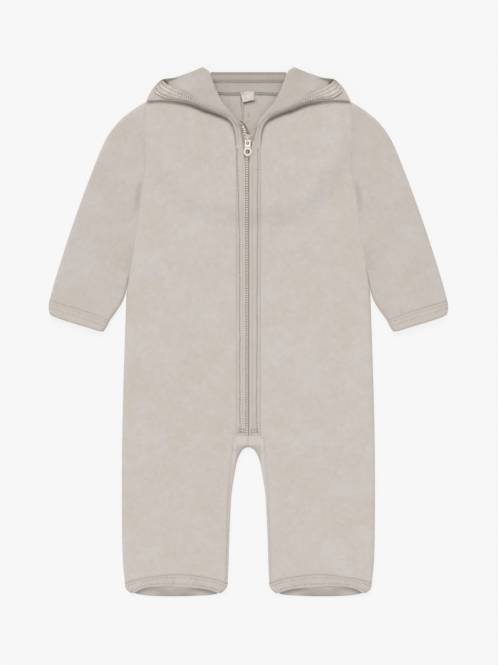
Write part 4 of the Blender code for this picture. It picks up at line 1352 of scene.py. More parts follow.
class Wardrobe:
    """Puts finished pieces in the scene, logs their triangles, and keeps each cloth's cut and what
    each trim is sewn on.
    """

    def __init__(self) -> None:
        """Start with no pieces."""
        self.cuts: list[tuple[bpy.types.Object, Cut]] = []
        self.trims: dict[str, list[bpy.types.Object]] = {}
        self.materials: dict[str, Material] = {}

    def material(self, finish: Any) -> Material:
        """The material of a finish, made once.

        Args:
            finish: what a surface is.

        Returns:
            Its material.
        """
        if finish.name not in self.materials:
            self.materials[finish.name] = finish.material()
        return self.materials[finish.name]

    def add(self, name: str, mesh: Mesh, finish: Any, slot: str = "fleece",
            body: Body = Body.GARMENT, replaces: Sequence[str] = (), cut: Cut | None = None,
            on: str | None = None) -> bpy.types.Object:
        """Add a piece.

        Args:
            name: the piece's name.
            mesh: its mesh, in place.
            finish: what its surface is.
            slot: not used.
            body: what it moves with.
            replaces: the plain pieces that it stands for.
            cut: its flat cut, where it is cloth of its own.
            on: the piece of cloth that it is sewn on, where it is trim.

        Returns:
            The piece's object.
        """
        piece = bpy.data.objects.new(name, mesh)
        mesh.materials.append(self.material(finish))
        bpy.context.scene.collection.objects.link(piece)
        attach(piece, body.value)
        if replaces:
            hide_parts(*replaces)
        if cut:
            self.cuts.append((piece, cut))
        if on:
            self.trims.setdefault(on, []).append(piece)
        triangles = sum(len(polygon.vertices) - 2 for polygon in mesh.polygons)
        LOG.info("%s: %d triangles", name, triangles)
        return piece

    def cloth(self, name: str, wall: Wall, finish: Any, node: str, cut: Cut,
              slot: str = "fleece") -> None:
        """Add a piece of cloth that stands for one plain piece.

        Args:
            name: the piece's name.
            wall: its wall of cloth.
            finish: what its surface is.
            node: the plain piece.
            cut: its flat cut.
            slot: passed on to add, which does not use it.
        """
        self.add(name, wall.mesh(name), finish, slot, replaces=[node], cut=cut)

    def sew(self, name: str, stitches: Stitches, paths: Sequence[Array], on: str,
            finish: Any = None) -> None:
        """Add rows of stitches to a piece of cloth, with a dark dish of painted shade at each needle
        hole.
        """
        self.add(name, stitches.thread(name, paths), finish or THREAD, on=on)
        self.add(f"{name}_holes", stitches.holes(f"{name}_holes", paths), NeedleHole(), on=on)


# ---- the garment


BODY_FLEECE = Fleece("fleece_body")
SLEEVE_FLEECE = Fleece("fleece_sleeve", offset=(0.43, 0.17, 0.0), level=0.962)
# The back, hood and nape fleece are the body's fleece made darker, as painted shade of the neck
# opening, where the inner back, the hood's inside and the nape lie.
BACK_FLEECE_SHADED = Fleece("fleece_back", offset=(0.11, 0.37, 0.0), level=0.91)
HOOD_FLEECE_SHADED = Fleece("fleece_hood", offset=(0.71, 0.05, 0.0), level=0.90)
NAPE_FLEECE_SHADED = Fleece("fleece_nape", offset=(0.55, 0.61, 0.0), level=0.84)
FACING_FLEECE = Fleece("fleece_facing", offset=(0.23, 0.83, 0.0), level=0.965)
GUSSET_FLEECE = Fleece("fleece_gusset", offset=(0.93, 0.41, 0.0), level=1.05)
RIB_BAND = Band("band_rib")
CUFF_BAND = Band("band_cuff", colour=(0.634, 0.570, 0.520))
EDGE_BAND = Band("band_edge", colour=(0.640, 0.568, 0.512))
# The nape band is made darker as painted shade, like the nape fleece.
NAPE_BAND_SHADED = Band("band_nape", colour=(0.491, 0.438, 0.391), deep=(0.491, 0.425, 0.365))
THREAD = Thread()
SHADED_THREAD = Thread("thread_shaded", (0.560, 0.505, 0.455))
PALE_THREAD = Thread("thread_pale", (0.880, 0.820, 0.760))
TAPE_RIBBON = Ribbon("zip_tape", (0.575, 0.495, 0.43))
LABEL_RIBBON = Ribbon("label_satin", (0.705, 0.638, 0.578), pitch=0.0016, contrast=0.3, rough=0.5)
RESIN = Moulded()
METAL = PaleMetal()
SLIDER_METAL = PaleMetal("slider_metal", (0.80, 0.710, 0.625), 0.0120, 0.0150)


# Painted shade in the armhole, zip-edge, gusset and hem seams, and painted shadow below the hood's
# rolled edge, below its band at the V, and along the shoulder.
FRONT_STROKES = [
    Stroke(ARMHOLE, 1.5, 0.35, 0.3, uneven=0.9),
    Stroke([(FRONT_EDGE, -112), (FRONT_EDGE, 214)], 0.8, 0.3, 0.2, uneven=0.9),
    Stroke([(row.inner_x, row.inner_y) for row in GUSSET[:GUSSET_SEAM_ROWS]], 1.1, 0.4, 0.6,
           uneven=0.6),
    Stroke(FRONT_HEM_SEAM, 1.1, 0.6, 0.9),
    Stroke([(13.6, 206), (14.2, 219), (15.6, 227), (19.6, 235)], 1.2, 1.2, 2.6, fades=True),
    Stroke([(15.0, 222), (20.0, 236.6), (34.6, 244.6), (49.6, 249.6), (63.6, 255.2), (80.4, 258.8),
           (93, 260)], 2.4, 1.6, 4.0, fades=True),
    Stroke([(76, 258.6), (98.0, 260.2), (114.5, 259.6)], 1.3, 0.6, 1.2),
]
# Painted shade along the hem seam and the centre back seam, painted shadow under and beside the
# label, and two fainter dark lines inside the neck.
BACK_STROKES = [
    Stroke(BACK_HEM_SEAM, 1.1, 0.0, 0.9),
    Stroke([(-6.4, 258.4), (6.9, 261.0)], 2.3, 0.0, 2.6, uneven=0.1),
    Stroke([(-7.2, 258.9), (-3, 259.6), (3.2, 261.1)], 1.2, 0.0, 4.8, uneven=0.1),
    Stroke([(-8.5, 265.6), (-7.5, 260.6)], 0.8, 0.0, 4.8, uneven=0.1),
    Stroke([(-8.7, 259), (-7.4, 253), (-6.5, 247.6)], 0.75, 0.0, 3.0),
    Stroke([(1.2, 250), (-0.6, 245), (0.8, 240), (-2.2, 236)], 0.7, 0.0, 1.6),
    Stroke([(-24, 262), (-20.5, 258), (-21.5, 253)], 0.8, 0.0, 0.4, fades=True),
]


@dataclass
class BodyPanels:
    """Fronts and backs, each cut in one with its leg, lying on each other."""
    shop: Wardrobe
    edge_step: float = 0.7
    middle_step: float = 2.5
    front_rows: int = 11
    back_rows: int = 8
    roll_steps: int = 8

    def columns(self) -> tuple[Array, Array]:
        """Columns across a panel and the height of each.

        The last ones are rolled: a quarter circle, with sines for the heights.

        Returns:
            The columns' shares of the width, and their heights.
        """
        turn = np.linspace(0, math.pi / 2, self.roll_steps + 1)
        roll = EDGE_ROLL / PANEL_WIDTH
        outs = 1 - roll * (1 - np.cos(turn))
        heights = np.sin(turn)
        flat = graded(PANEL_WIDTH, self.edge_step, self.middle_step)
        flat = flat[flat < outs[-1] - 0.004]
        return (np.concatenate([flat, outs[::-1]]),
                np.concatenate([np.ones(len(flat)), heights[::-1]]))

    def plan(self, neck: Sequence[Point], hem_seam: Sequence[Point],
             inner_x: Callable[[Array], Array], rows: int) -> Array:
        """Plan grid of a panel, a Coons patch between its four edges.

        Args:
            neck: its neckline.
            hem_seam: its lower edge.
            inner_x: gives the inner edge's x at any y.
            rows: rows to each body level.

        Returns:
            The grid.
        """
        columns = self.columns()[0]
        inner_y = finer([level.inner_y for level in BODY_LEVELS], rows)
        outer_y = finer([level.outer_y for level in BODY_LEVELS], rows)
        neck_line = dense(neck)
        inner_y = np.where(inner_y > 0, inner_y * neck_line[0, 1] / ZIP_TOP, inner_y)
        side = np.vstack([dense(SIDE_SEAM), dense(ARMHOLE)[1:]])
        inner = np.stack([inner_x(inner_y), inner_y], axis=1)
        outer = np.stack([x_at(side, outer_y), outer_y], axis=1)
        neck_line[:, 0] += ((inner[-1, 0] - neck_line[0, 0])
                            * (1 - (neck_line[:, 0] - neck_line[0, 0])
                               / (neck_line[-1, 0] - neck_line[0, 0])))
        at_neck = columns <= NECK_SHARE
        shoulder = (columns[~at_neck] - NECK_SHARE) / (1 - NECK_SHARE)
        top = np.vstack([along(neck_line, columns[at_neck] / NECK_SHARE),
                         along(as_array(SHOULDER), shoulder)])
        bottom = along(dense(hem_seam), columns) + [0, SEAM]
        bottom[0] = inner[0] + [0, SEAM]
        inner[0] = bottom[0]
        outer[0] = bottom[-1]
        share_up = (outer_y - outer_y[0]) / (outer_y[-1] - outer_y[0])
        return coons(bottom, top, inner, outer, share_up, columns)

    def shares(self, plan: Array, rows: int) -> Array:
        """Share of the half thickness: rolled at the side, the arch and the shoulder.

        Beside a sleeve the roll is nearly full, because the two lie close together.

        Args:
            plan: the panel's plan grid.
            rows: rows to each body level.

        Returns:
            The shares.
        """
        heights = self.columns()[1]
        row = np.arange(len(plan))[:, None] / rows
        past = smoothstep((row - ARMPIT_LEVEL) / 0.35)
        past = np.maximum(past, beside(plan[:, -1:, 1]))
        share = heights[None, :] * (1 - past) + past
        leg = rounded(distance(plan, ARCH_LINE) / EDGE_ROLL)
        from_shoulder = rounded(distance(plan, as_array(SHOULDER)) / EDGE_ROLL)
        return share * leg * (SHOULDER_FULLNESS + (1 - SHOULDER_FULLNESS) * from_shoulder)

    @staticmethod
    def edges(share: Array) -> tuple[Array, Array]:
        """Which edge points are rolled, and which are cut upright.

        Args:
            share: share of the half thickness.

        Returns:
            Both, as masks.
        """
        edge = np.zeros(share.shape, dtype=bool)
        edge[:, [0, -1]] = True
        edge[-1] = True
        rolled = edge & (share < 0.5)
        return rolled, edge & ~rolled

    @staticmethod
    def front_inner(y: Array) -> Array:
        """Inner edge of a front: the zip facing above, the gusset below."""
        above = as_array([(FRONT_EDGE, FRONT_EDGE_START), (FRONT_EDGE, ZIP_TOP)])
        return x_at(np.vstack([GUSSET_SEAM, above]), y) + SEAM

    @staticmethod
    def back_inner(side: Side) -> Callable[[Array], Array]:
        """Inner edge of a back: the gusset, and above it the wandering centre seam."""
        def edge(y: Array) -> Array:
            """The x of the edge at y."""
            return np.where(y > ZIP_BOTTOM, SEAM / 2 + side.value * back_seam_x(y),
                            x_at(GUSSET_SEAM, y) + SEAM)
        return edge

    def front(self, side: Side) -> None:
        """A front: raised over the middle, creased, and dipping into its seams.

        Args:
            side: which half.
        """
        plan = self.plan(FRONT_NECK, FRONT_HEM_SEAM, self.front_inner, self.front_rows)
        share = self.shares(plan, self.front_rows)
        rolled, upright = self.edges(share)
        depth, shade = press(plan, FRONT_STROKES)
        height = (MIDDLE + SEAM / 2 + (MIDDLE - SEAM / 2) * share + lift(plan)
                  + (FRONT_RELIEF.height(plan * side.turn) - depth) * share)
        wall = Wall(with_height(plan, height), side=side, level=rolled, upright=upright,
                    shade=shade)
        self.shop.cloth(f"front_panel_{side}", wall, BODY_FLEECE, f"front_{side}",
                        Cut(0.131, 0.556, 0.0631, rests_on=(f"back_panel_{side}",)))

    def back(self, side: Side) -> None:
        """A back: flat on the table below the folded hood, with faint hollows.

        Args:
            side: which half.
        """
        plan = self.plan(BACK_NECK, BACK_HEM_SEAM, self.back_inner(side), self.back_rows)
        share = self.shares(plan, self.back_rows)
        rolled, upright = self.edges(share)
        world = plan * side.turn
        shade = press(world, BACK_STROKES)[1]
        relief = np.maximum(BACK_RELIEF.height(world), 0)
        height = (MIDDLE - SEAM / 2) * (1 - share) + lift(plan) + relief * share
        wall = Wall(with_height(plan, height), side=side, faces_up=False, level=rolled,
                    upright=upright, shade=shade)
        self.shop.cloth(f"back_panel_{side}", wall, BACK_FLEECE_SHADED, f"back_{side}",
                        Cut(0.143, 0.560, 0.0703))

    def back_seam(self) -> None:
        """The overlocked allowance of the centre back seam, seen inside the neck."""
        y = np.linspace(236.0, 262.0, 60)
        x = back_seam_x(y)
        top = lift(np.column_stack([x, y])) + WALL
        across = np.array([-0.4, -0.2, 0.7, 1.8, 2.5])
        rise = np.array([-0.3, 0.5, 0.75, 0.6, 0.0])
        grid = np.stack([x[:, None] + across, np.broadcast_to(y[:, None], (60, 5)),
                         top[:, None] + rise], axis=2)
        wall = Wall(grid, wall=0.5)
        self.shop.add("back_seam_allowance", wall.mesh("back_seam_allowance"), BACK_FLEECE_SHADED,
                      on="back_panel_left")
        paths = [wall.path(np.linspace(0.02, 0.98, 40), share) for share in (0.45, 0.8)]
        self.shop.sew("back_seam_overlock", Stitches(1.5, 2.0, 0.2, 0.15, 1.1, hole=0.3), paths,
                      "back_panel_left", SHADED_THREAD)

    def build(self) -> None:
        """Build both fronts and both backs."""
        for side in Side:
            self.front(side)
            self.back(side)
        self.back_seam()


def tube_columns(width: float, edge: float, step: float, roll: int = 7) -> tuple[Array, Array]:
    """Columns across a flattened tube that is rolled at both ends, and their heights.

    Args:
        width: the tube's width.
        edge: step near its ends.
        step: step between them.
        roll: steps round a rolled end.

    Returns:
        The columns' shares of the width, and their heights.
    """
    turn = np.linspace(0, math.pi / 2, roll + 1)
    ends = EDGE_ROLL / width * (1 - np.cos(turn))
    flat = graded(width, edge, step)
    flat = flat[(flat > ends[-1] + 0.004) & (flat < 1 - ends[-1] - 0.004)]
    columns = np.concatenate([ends, flat, 1 - ends[::-1]])
    heights = np.concatenate([np.sin(turn), np.ones(len(flat)), np.sin(turn)[::-1]])
    return columns, heights


def both(front: Array, back: Array) -> Array:
    """Columns of a flat tube: the front's, then the back's the other way."""
    return np.concatenate([front, back[:, -2:0:-1]], axis=1)


def flat_tube(front: Array, back: Array, share: Array, top_relief: Array,
              under_relief: Array) -> Array:
    """A flattened tube: the front grid, and the back grid run the other way.

    Args:
        front, back: the plan of each.
        share: share of the half thickness.
        top_relief, under_relief: the small heights of each.

    Returns:
        The tube's grid.
    """
    high = MIDDLE + MIDDLE * share + lift(front) + top_relief * share
    low = MIDDLE - MIDDLE * share + lift(back) + np.maximum(under_relief, 0) * share
    return both(with_height(front, high), with_height(back, low))


def band_strip(seam: Array, edge: Array, rows: Array, run: Array,
               corners: tuple[float, float]) -> Array:
    """Plan grid of a band between its seam and its edge, with rounded corners.

    The first and last columns bulge out by 4 r (1 - r) times the corner's size, and the
    bulge fades over a few millimetres along the band.

    Args:
        seam, edge: points on each, one a column.
        rows: shares of the way from seam to edge.
        run: the columns' places along the band.
        corners: how far the two ends bulge.

    Returns:
        The grid.
    """
    plan = seam[None] + rows[:, None, None] * (edge - seam)[None]
    swell = 4 * rows * (1 - rows)
    for number, sign, size in ((0, 1, corners[0]), (-1, -1, corners[1])):
        down = edge[number] - seam[number]
        out = sign * np.array([down[1], -down[0]]) / np.linalg.norm(down)
        near = np.abs(run - run[number])
        plan = plan + (size * swell[:, None] * dip(near, 6.0))[..., None] * out
    return plan


# Painted shade in the armhole and cuff seams, and in the hollow where the sleeve lies beside the
# body.
SLEEVE_STROKES = [
    Stroke(ARMHOLE, 1.5, 0.35, 0.3, uneven=0.9),
    Stroke([(121.5, 172), (123.8, 160), (125.4, 148), (127.5, 134)], 3.4, 0.6, 1.1, fades=True,
           uneven=0.3),
    Stroke([(131, 100), (136, 78), (140, 62)], 4.0, 0.4, 0.5, fades=True),
    Stroke(CUFF_SEAM, 1.1, 0.4, 0.5, uneven=0.8),
]


@dataclass
class Sleeves:
    """Two sleeves that lie beside the body, and their cuffs."""
    shop: Wardrobe
    rows: int = 130
    cuff_rows: int = 30
    cuff_width: float = 14.5
    stitch_rows: tuple[float, float] = (3.3, 7.6)
    stitch_starts: tuple[float, float] = (0.03, 0.11)

    def sleeve(self, side: Side) -> None:
        """A sleeve: a flattened tube from the armhole to the cuff, close to the body.

        Args:
            side: which half.
        """
        columns, heights = tube_columns(SLEEVE_WIDTH, 0.8, 2.6)
        rows = np.unique(np.concatenate([np.linspace(0, 0.05, 16),
                                         np.linspace(0.05, 0.95, self.rows),
                                         np.linspace(0.95, 1, 16)]))
        armhole = along(dense(ARMHOLE), columns) + [SEAM, 0]
        cuff = along(dense(CUFF_SEAM), columns)
        apart = np.minimum(1, (1 - rows[:, None]) / SLEEVE_CLOSES)
        under = along(dense(SLEEVE_UNDER), rows) + np.array([SLEEVE_GAP, 0]) * apart
        under[0] = armhole[0]
        over = along(dense(SLEEVE_TOP), rows)
        plan = coons(armhole, cuff, under, over, rows, columns)
        plan[..., 0] += self.armpit_fullness(columns * SLEEVE_WIDTH,
                                             rows[:, None] * lengths(under)[-1])
        close = beside(plan[:, :1, 1]) * (columns < 0.5)[None]
        share = heights[None] * (1 - close) + close
        depth, shade = press(plan, SLEEVE_STROKES)
        world = plan * side.turn
        tube = flat_tube(plan, plan, share, SLEEVE_RELIEF.height(world) - depth,
                         0.6 * BACK_RELIEF.height(world))
        wall = Wall(tube, side=side, ring=True, probe=(4, 30), shade=both(shade, shade))
        self.shop.cloth(f"sleeve_tube_{side}", wall, SLEEVE_FLEECE, f"sleeve_{side}",
                        Cut(0.202, 0.262, 0.0302))

    @staticmethod
    def armpit_fullness(across: Array, along_sleeve: Array) -> Array:
        """How far the sleeve is pushed out near the armpit, where two edges of its grid meet.

        It is the sum of a steep and a gentle swell, which fade over 50 mm.

        Args:
            across, along_sleeve: distances from the armpit.

        Returns:
            The push at each point.
        """
        steep = 1.3 * (1 - np.exp(-across / 3)) * (1 - np.exp(-along_sleeve / 3))
        gentle = 5.0 * (1 - np.exp(-across / 14)) * (1 - np.exp(-along_sleeve / 14))
        return (steep + gentle) * np.exp(-(across + along_sleeve) / 50)

    def cuff(self, side: Side) -> None:
        """The band on a sleeve's end, ribbed, with two rows of stitches.

        Args:
            side: which half.
        """
        columns, heights = tube_columns(CUFF_WIDTH, 0.7, 0.7)
        rows = np.linspace(0, 1, self.cuff_rows)
        run = columns * CUFF_WIDTH
        plan = band_strip(along(dense(CUFF_SEAM), columns) + [0, -SEAM],
                          along(dense(CUFF_EDGE), columns), rows, run, CUFF_CORNERS)
        share = np.broadcast_to(heights, plan.shape[:2])
        down = rows[:, None] * self.cuff_width
        groove = np.max([dip(down - row, 0.7) for row in self.stitch_rows], axis=0)
        patchy = 0.5 + 0.5 * Noise(91).at(plan * side.turn, 12.0)
        relief = (BAND_RELIEF.height(plan * side.turn) + 0.09 * np.sin(2 * math.pi * run / RIB_PITCH)
                  - 0.35 * groove - 0.45 * dip(down, 1.3)
                  - 0.5 * (1 - rounded((self.cuff_width - down) / 2.0)))
        # Painted shade along the seam, in the stitch grooves and at the band's edge, unevenly in the
        # grooves.
        shade = (0.5 * dip(down, 1.2) + (0.2 + 0.5 * patchy) * groove
                 + 0.7 * dip(down - self.cuff_width, 1.5))
        tube = flat_tube(plan, plan, share, relief, np.zeros_like(relief))
        wall = Wall(tube, side=side, ring=True, probe=(0, 12), shade=both(shade, shade))
        self.shop.cloth(f"cuff_band_{side}", wall, CUFF_BAND, f"cuff_{side}",
                        Cut(0.156, 0.015, 0.00225))
        half = wall.front_end()
        paths = [wall.path(row / self.cuff_width, np.linspace(start, half - start, 70))
                 for row, start in zip(self.stitch_rows, self.stitch_starts)]
        self.shop.sew(f"cuff_stitches_{side}", Stitches(2.7, 1.9, 0.36, 0.1, hole=0.28), paths,
                      f"cuff_band_{side}", PALE_THREAD)

    def build(self) -> None:
        """Build both sleeves with their cuffs."""
        for side in Side:
            self.sleeve(side)
            self.cuff(side)


@dataclass
class LegBands:
    """The bands on the legs' ends, longer at the back, ribbed and double-stitched."""
    shop: Wardrobe
    rows: int = 22
    rib_pitch: float = 2.1
    rib_height: float = 0.3
    stitch_rows: tuple[float, float] = (0.22, 0.78)
    # Painted shade inside the open mouth, by share of the way down the back band: below 0 painted
    # light near the front band's edge, above 0 painted shade further down.
    inside_shade: tuple[tuple[float, ...], ...] = (
        (0.0, 0.07, 0.17, 0.27, 0.37, 0.47, 0.7, 0.88, 1.0),
        (-3.0, -2.6, -1.5, -0.3, 0.7, 1.2, 1.5, 1.9, 2.0))

    def band(self, side: Side) -> None:
        """A band: a flattened tube whose mouth is open at the front.

        Args:
            side: which half.
        """
        columns, heights = tube_columns(HEM_WIDTH, 0.55, 0.55)
        rows = np.linspace(0, 1, self.rows)
        run = columns * HEM_WIDTH

        def strip(seam: Sequence[Point], edge: Sequence[Point]) -> Array:
            """Grid between a seam line and an edge line."""
            return band_strip(along(dense([HEM_INNER, *seam]), columns) - [0, SEAM],
                              along(dense(edge), columns), rows, run, HEM_CORNERS)

        front = strip(FRONT_HEM_SEAM, FRONT_HEM_EDGE)
        back = strip(BACK_HEM_SEAM, BACK_HEM_EDGE)
        share = np.broadcast_to(heights, front.shape[:2])
        down = rows[:, None]
        groove = np.max([dip(down - row, 0.06) for row in self.stitch_rows], axis=0)
        slant = 5.0 * ((run / HEM_WIDTH - 0.5) * 2) ** 3 * down
        ribs = np.sin(2 * math.pi * (run[None] + slant) / self.rib_pitch)
        middle = smoothstep((down - 0.05) / 0.15) * smoothstep((1.0 - down) / 0.12)
        world = front * side.turn
        relief = (BAND_RELIEF.height(world) + self.rib_height * ribs * middle - 0.3 * groove
                  - 0.5 * dip(down, 0.1) - 0.35 * smoothstep((down - 0.93) / 0.07))
        patchy = 0.6 + 0.4 * Noise(97).at(world, 7.0)
        # Painted shade along the seam and in the stitch grooves, and the ribs painted lighter on
        # their crests and darker between them.
        shade = (1.2 * dip(down, 0.07) + 0.6 * groove + patchy * middle * (0.3 - 0.8 * ribs))
        central = smoothstep((run - 12) / 40) * smoothstep((HEM_WIDTH - 12 - run) / 40)
        # Painted shade and light inside the mouth, strongest in the band's middle and a little
        # uneven.
        inside = (np.interp(down, *self.inside_shade) * (0.35 + 0.65 * central)
                  + 0.3 * Noise(89).at(back, 9.0))
        tube = flat_tube(front, back, share, relief, np.zeros_like(relief))
        wall = Wall(tube, side=side, ring=True, probe=(0, 12), shade=both(shade, inside))
        self.shop.cloth(f"leg_band_{side}", wall, RIB_BAND, f"hem_{side}",
                        Cut(0.244, 0.0145, 0.0030))
        half = wall.front_end()
        across = np.linspace(0.02, half - 0.015, 100)
        paths = [wall.path(row, across) for row in self.stitch_rows]
        self.shop.sew(f"leg_stitches_{side}", Stitches(2.6, 1.9, 0.36, 0.1, hole=0.4), paths,
                      f"leg_band_{side}", PALE_THREAD)

    def build(self) -> None:
        """Build both bands."""
        for side in Side:
            self.band(side)


GUSSET_RELIEF = Relief((), 61, swell=0.15, nap=0.09)
# Painted shade in a short seam across the gusset.
GUSSET_CROSS_SEAM = Stroke([(-18.6, -132.4), (-8.5, -132.9)], 0.8, 0.3, 1.1)


@dataclass
class Gusset:
    """The band round the crotch and on down the inside of each leg."""
    shop: Wardrobe
    steps: int = 11
    across: int = 14

    def half(self, side: Side) -> None:
        """One half, rolled over at the arch so that it lies on the front and the back.

        Args:
            side: which half.
        """
        edges = dense(GUSSET, self.steps)
        edges[:, 1] = np.minimum(edges[:, 1], ZIP_BOTTOM)
        inner, outer = edges[:, :2] - [SEAM, 0], edges[:, 2:]
        inner[:, 0] = np.maximum(inner[:, 0], SEAM / 2)
        width = np.linalg.norm(inner - outer, axis=1)[:, None]
        shares = np.concatenate([np.linspace(1, 0.25, self.across),
                                 0.22 * (1 - np.sin(np.linspace(0.1, 1.5, 8)))])
        upper = outer[:, None] + shares[None, :, None] * (inner - outer)[:, None]
        share = rounded(shares[None] * width / EDGE_ROLL)
        seam = dip((1 - shares)[None] * width, 1.1)
        centre = dip(upper[..., 0] + side.value * 0.3, 0.9) * (upper[..., 1] > -131)
        world = upper * side.turn
        depth, shade = press(world, [GUSSET_CROSS_SEAM])
        # Painted shade in the seams, down the centre seam, and towards the arch.
        arch = 0.9 * smoothstep((-124.5 - upper[..., 1]) / 5) * (upper[..., 0] < 14)
        shade = np.max([shade, 0.6 * seam, 0.9 * centre, arch], axis=0)
        relief = (GUSSET_RELIEF.height(world) - 0.4 * seam - 0.5 * centre - depth) * share
        edge = with_height(outer[:, None], np.full((len(edges), 1), MIDDLE))
        high = with_height(upper, MIDDLE + MIDDLE * share + relief)
        low = with_height(upper, MIDDLE - MIDDLE * share)[:, ::-1]
        grid = np.concatenate([high, edge, low], axis=1)
        shade = np.concatenate([shade, shade[:, -1:], shade[:, ::-1]], axis=1)
        upright = np.zeros(grid.shape[:2], dtype=bool)
        upright[:, [0, -1]] = True
        wall = Wall(grid, side=side, probe=(0, 0), upright=upright, shade=shade)
        self.shop.cloth(f"gusset_band_{side}", wall, GUSSET_FLEECE, f"gusset_{side}",
                        Cut(0.026, 0.195, 0.0021))

    def build(self) -> None:
        """Build both halves."""
        for side in Side:
            self.half(side)


# Painted shadow in the gap at the hood's corner, painted shade around the corner, and painted shade
# along a pressed line.
LAPEL_STROKES = [
    Stroke([(97.4, 286.0), (94.6, 283.9), (92.2, 281.0)], 2.5, 1.6, 5.0, uneven=0.1),
    Stroke([(94.0, 283.4), (88.0, 285.0), (82.5, 287.8)], 2.1, 1.2, 3.4, uneven=0.1),
    Stroke([(96, 283), (84, 277)], 6.0, 0.8, 0.6),
    Stroke([(88, 279), (74, 271.6), (58, 262.5)], 1.0, 0.4, 1.2, fades=True),
]


@dataclass
class Hood:
    """The hood: folded down behind the back, with its sides rolled open."""
    shop: Wardrobe
    rows: int = 90
    upper_columns: int = 54
    under_columns: int = 6
    turn_steps: int = 16
    band_start: float = 212.0
    band_climb: float = 20.0
    band_lines: Triple = (0.2, 0.5, 0.8)
    back_lines: tuple[float, float] = (1.0, 6.3)

    def crown(self) -> None:
        """The folded rest of the hood: rings up a layered edge, closed on both faces."""
        centre = CROWN_RING.mean(axis=0)
        reach = np.linalg.norm(CROWN_RING - centre, axis=1)[:, None]
        layers = dense(CROWN_LAYERS, 4)
        rings = [centre + (CROWN_RING - centre) * (1 - np.maximum(inset, 0) / reach)
                 for inset in layers[:, 0]]
        inward = np.linspace(1, 0.05, 20)[1:]
        top = [centre + (rings[-1] - centre) * share for share in inward]
        under = [centre + (rings[0] - centre) * share for share in inward[::-1]]
        plan = np.array(under + rings + top)
        heights = np.concatenate([np.zeros(len(under)), layers[:, 1],
                                  np.full(len(top), CROWN_HEIGHT)])
        heights = np.clip(heights, 0, CROWN_HEIGHT)
        points = with_height(plan, heights[:, None])
        points[..., 2] += (heights >= CROWN_HEIGHT)[:, None] * -0.1 * np.abs(
            Noise(83).at(plan, 13.0))
        rows, columns = points.shape[:2]
        number = closed(np.arange(rows * columns).reshape(rows, columns))
        faces = Wall.quads(number[1:], number[:-1]).tolist()
        faces += [number[0, :-1].tolist(), number[-1, :-1][::-1].tolist()]
        self.shop.add("hood_folded", smooth_mesh("hood_folded", points, faces), HOOD_FLEECE_SHADED,
                      replaces=["hood_crown"], cut=Cut(0.212, 0.142, 0.0235, Held.FOLDED))

    @staticmethod
    def side_top(points: Array) -> Array:
        """Top of the hood side: it falls past the shoulder, and towards the zip facings.

        Args:
            points: places, by x and y.

        Returns:
            The heights.
        """
        start = as_array(SHOULDER)
        line = (start[1] - start[0]) / np.linalg.norm(start[1] - start[0])
        beyond = (points[..., :2] - start[0]) @ np.array([-line[1], line[0]])
        past = smoothstep((points[..., 0] - HOOD_FALL_START) / HOOD_FALL_WIDTH)
        at_zip = 1 - smoothstep((points[..., 1] - HOOD_RISE_START) / HOOD_RISE_LENGTH)
        return (HOOD_SIDE_TOP - HOOD_SIDE_DROP * smoothstep(beyond / HOOD_FALL_LENGTH) * past
                - HOOD_ZIP_DROP * at_zip)

    def side(self, side: Side) -> None:
        """A side, rolled open: its inside lies up, and turns under at the inner fold.

        Each row runs from the outer edge in over the top, round half a turn of
        HOOD_FOLD_RADIUS and back underneath to the neck seam.

        Args:
            side: which half.
        """
        rows = np.linspace(0, 1, self.rows)
        shares = np.linspace(0, 1, 65)
        fold = along(dense(HOOD_FOLD), rows)
        outer = along(dense(HOOD_OUTER), rows)
        start = fold[0] + shares[:, None] * (outer[0] - fold[0])
        plan = coons(start, along(dense(HOOD_TOP), shares), fold, outer, rows, shares)
        neck = dense(FRONT_NECK)
        turns = np.radians(np.linspace(90, -90, self.turn_steps))
        upper_shares = 1 - np.concatenate([np.linspace(0, 0.06, 7),
                                           np.linspace(0.06, 0.985, self.upper_columns)[1:]])
        under_shares = np.linspace(0, 1, self.under_columns + 1)[1:]
        edge_gap, grid = [], []
        for line in plan:
            run = lengths(line)
            neck_y = np.interp(line[:, 0], neck[:, 0], neck[:, 1])
            outside = (line[:, 1] < neck_y + 0.5) & (line[:, 0] < neck[-1, 0])
            end = run[outside][0] - HOOD_NECK_GAP if outside.any() else HOOD_TURN_UNDER
            end = max(end, HOOD_FOLD_RADIUS + 0.3)
            over = HOOD_FOLD_RADIUS + upper_shares * (run[-1] - HOOD_FOLD_RADIUS)
            bend = HOOD_FOLD_RADIUS * (1 - np.cos(turns))
            under = HOOD_FOLD_RADIUS + under_shares * (end - HOOD_FOLD_RADIUS)
            reach = np.concatenate([over, bend, under])
            points = between(reach, run, line)
            drop = np.concatenate([np.zeros(len(over)), HOOD_FOLD_RADIUS * (1 - np.sin(turns)),
                                   np.full(len(under), 2 * HOOD_FOLD_RADIUS)])
            edge_gap.append(np.concatenate([run[-1] - over,
                                            np.full(len(bend) + len(under), 99.0)]))
            grid.append(np.column_stack([points, self.side_top(points) - drop]))
        grid, edge_gap = np.array(grid), np.array(edge_gap)
        upper = edge_gap < 90
        depth, shade = press(grid, LAPEL_STROKES)
        relief = LAPEL_RELIEF.height(grid[..., :2] * side.turn)
        grid[..., 2] += np.where(upper, relief - depth, 0.5 * relief)
        cut = np.zeros(grid.shape[:2], dtype=bool)
        cut[[0, -1]] = cut[:, 0] = True
        wall = Wall(grid, side=side, probe=(30, 20), upright=cut,
                    shade=np.where(upper, shade, 0))
        self.shop.cloth(f"hood_side_{side}", wall, HOOD_FLEECE_SHADED, f"hood_{side}",
                        Cut(0.075, 0.110, 0.0037, Held.FOLDED, (f"front_panel_{side}",)))

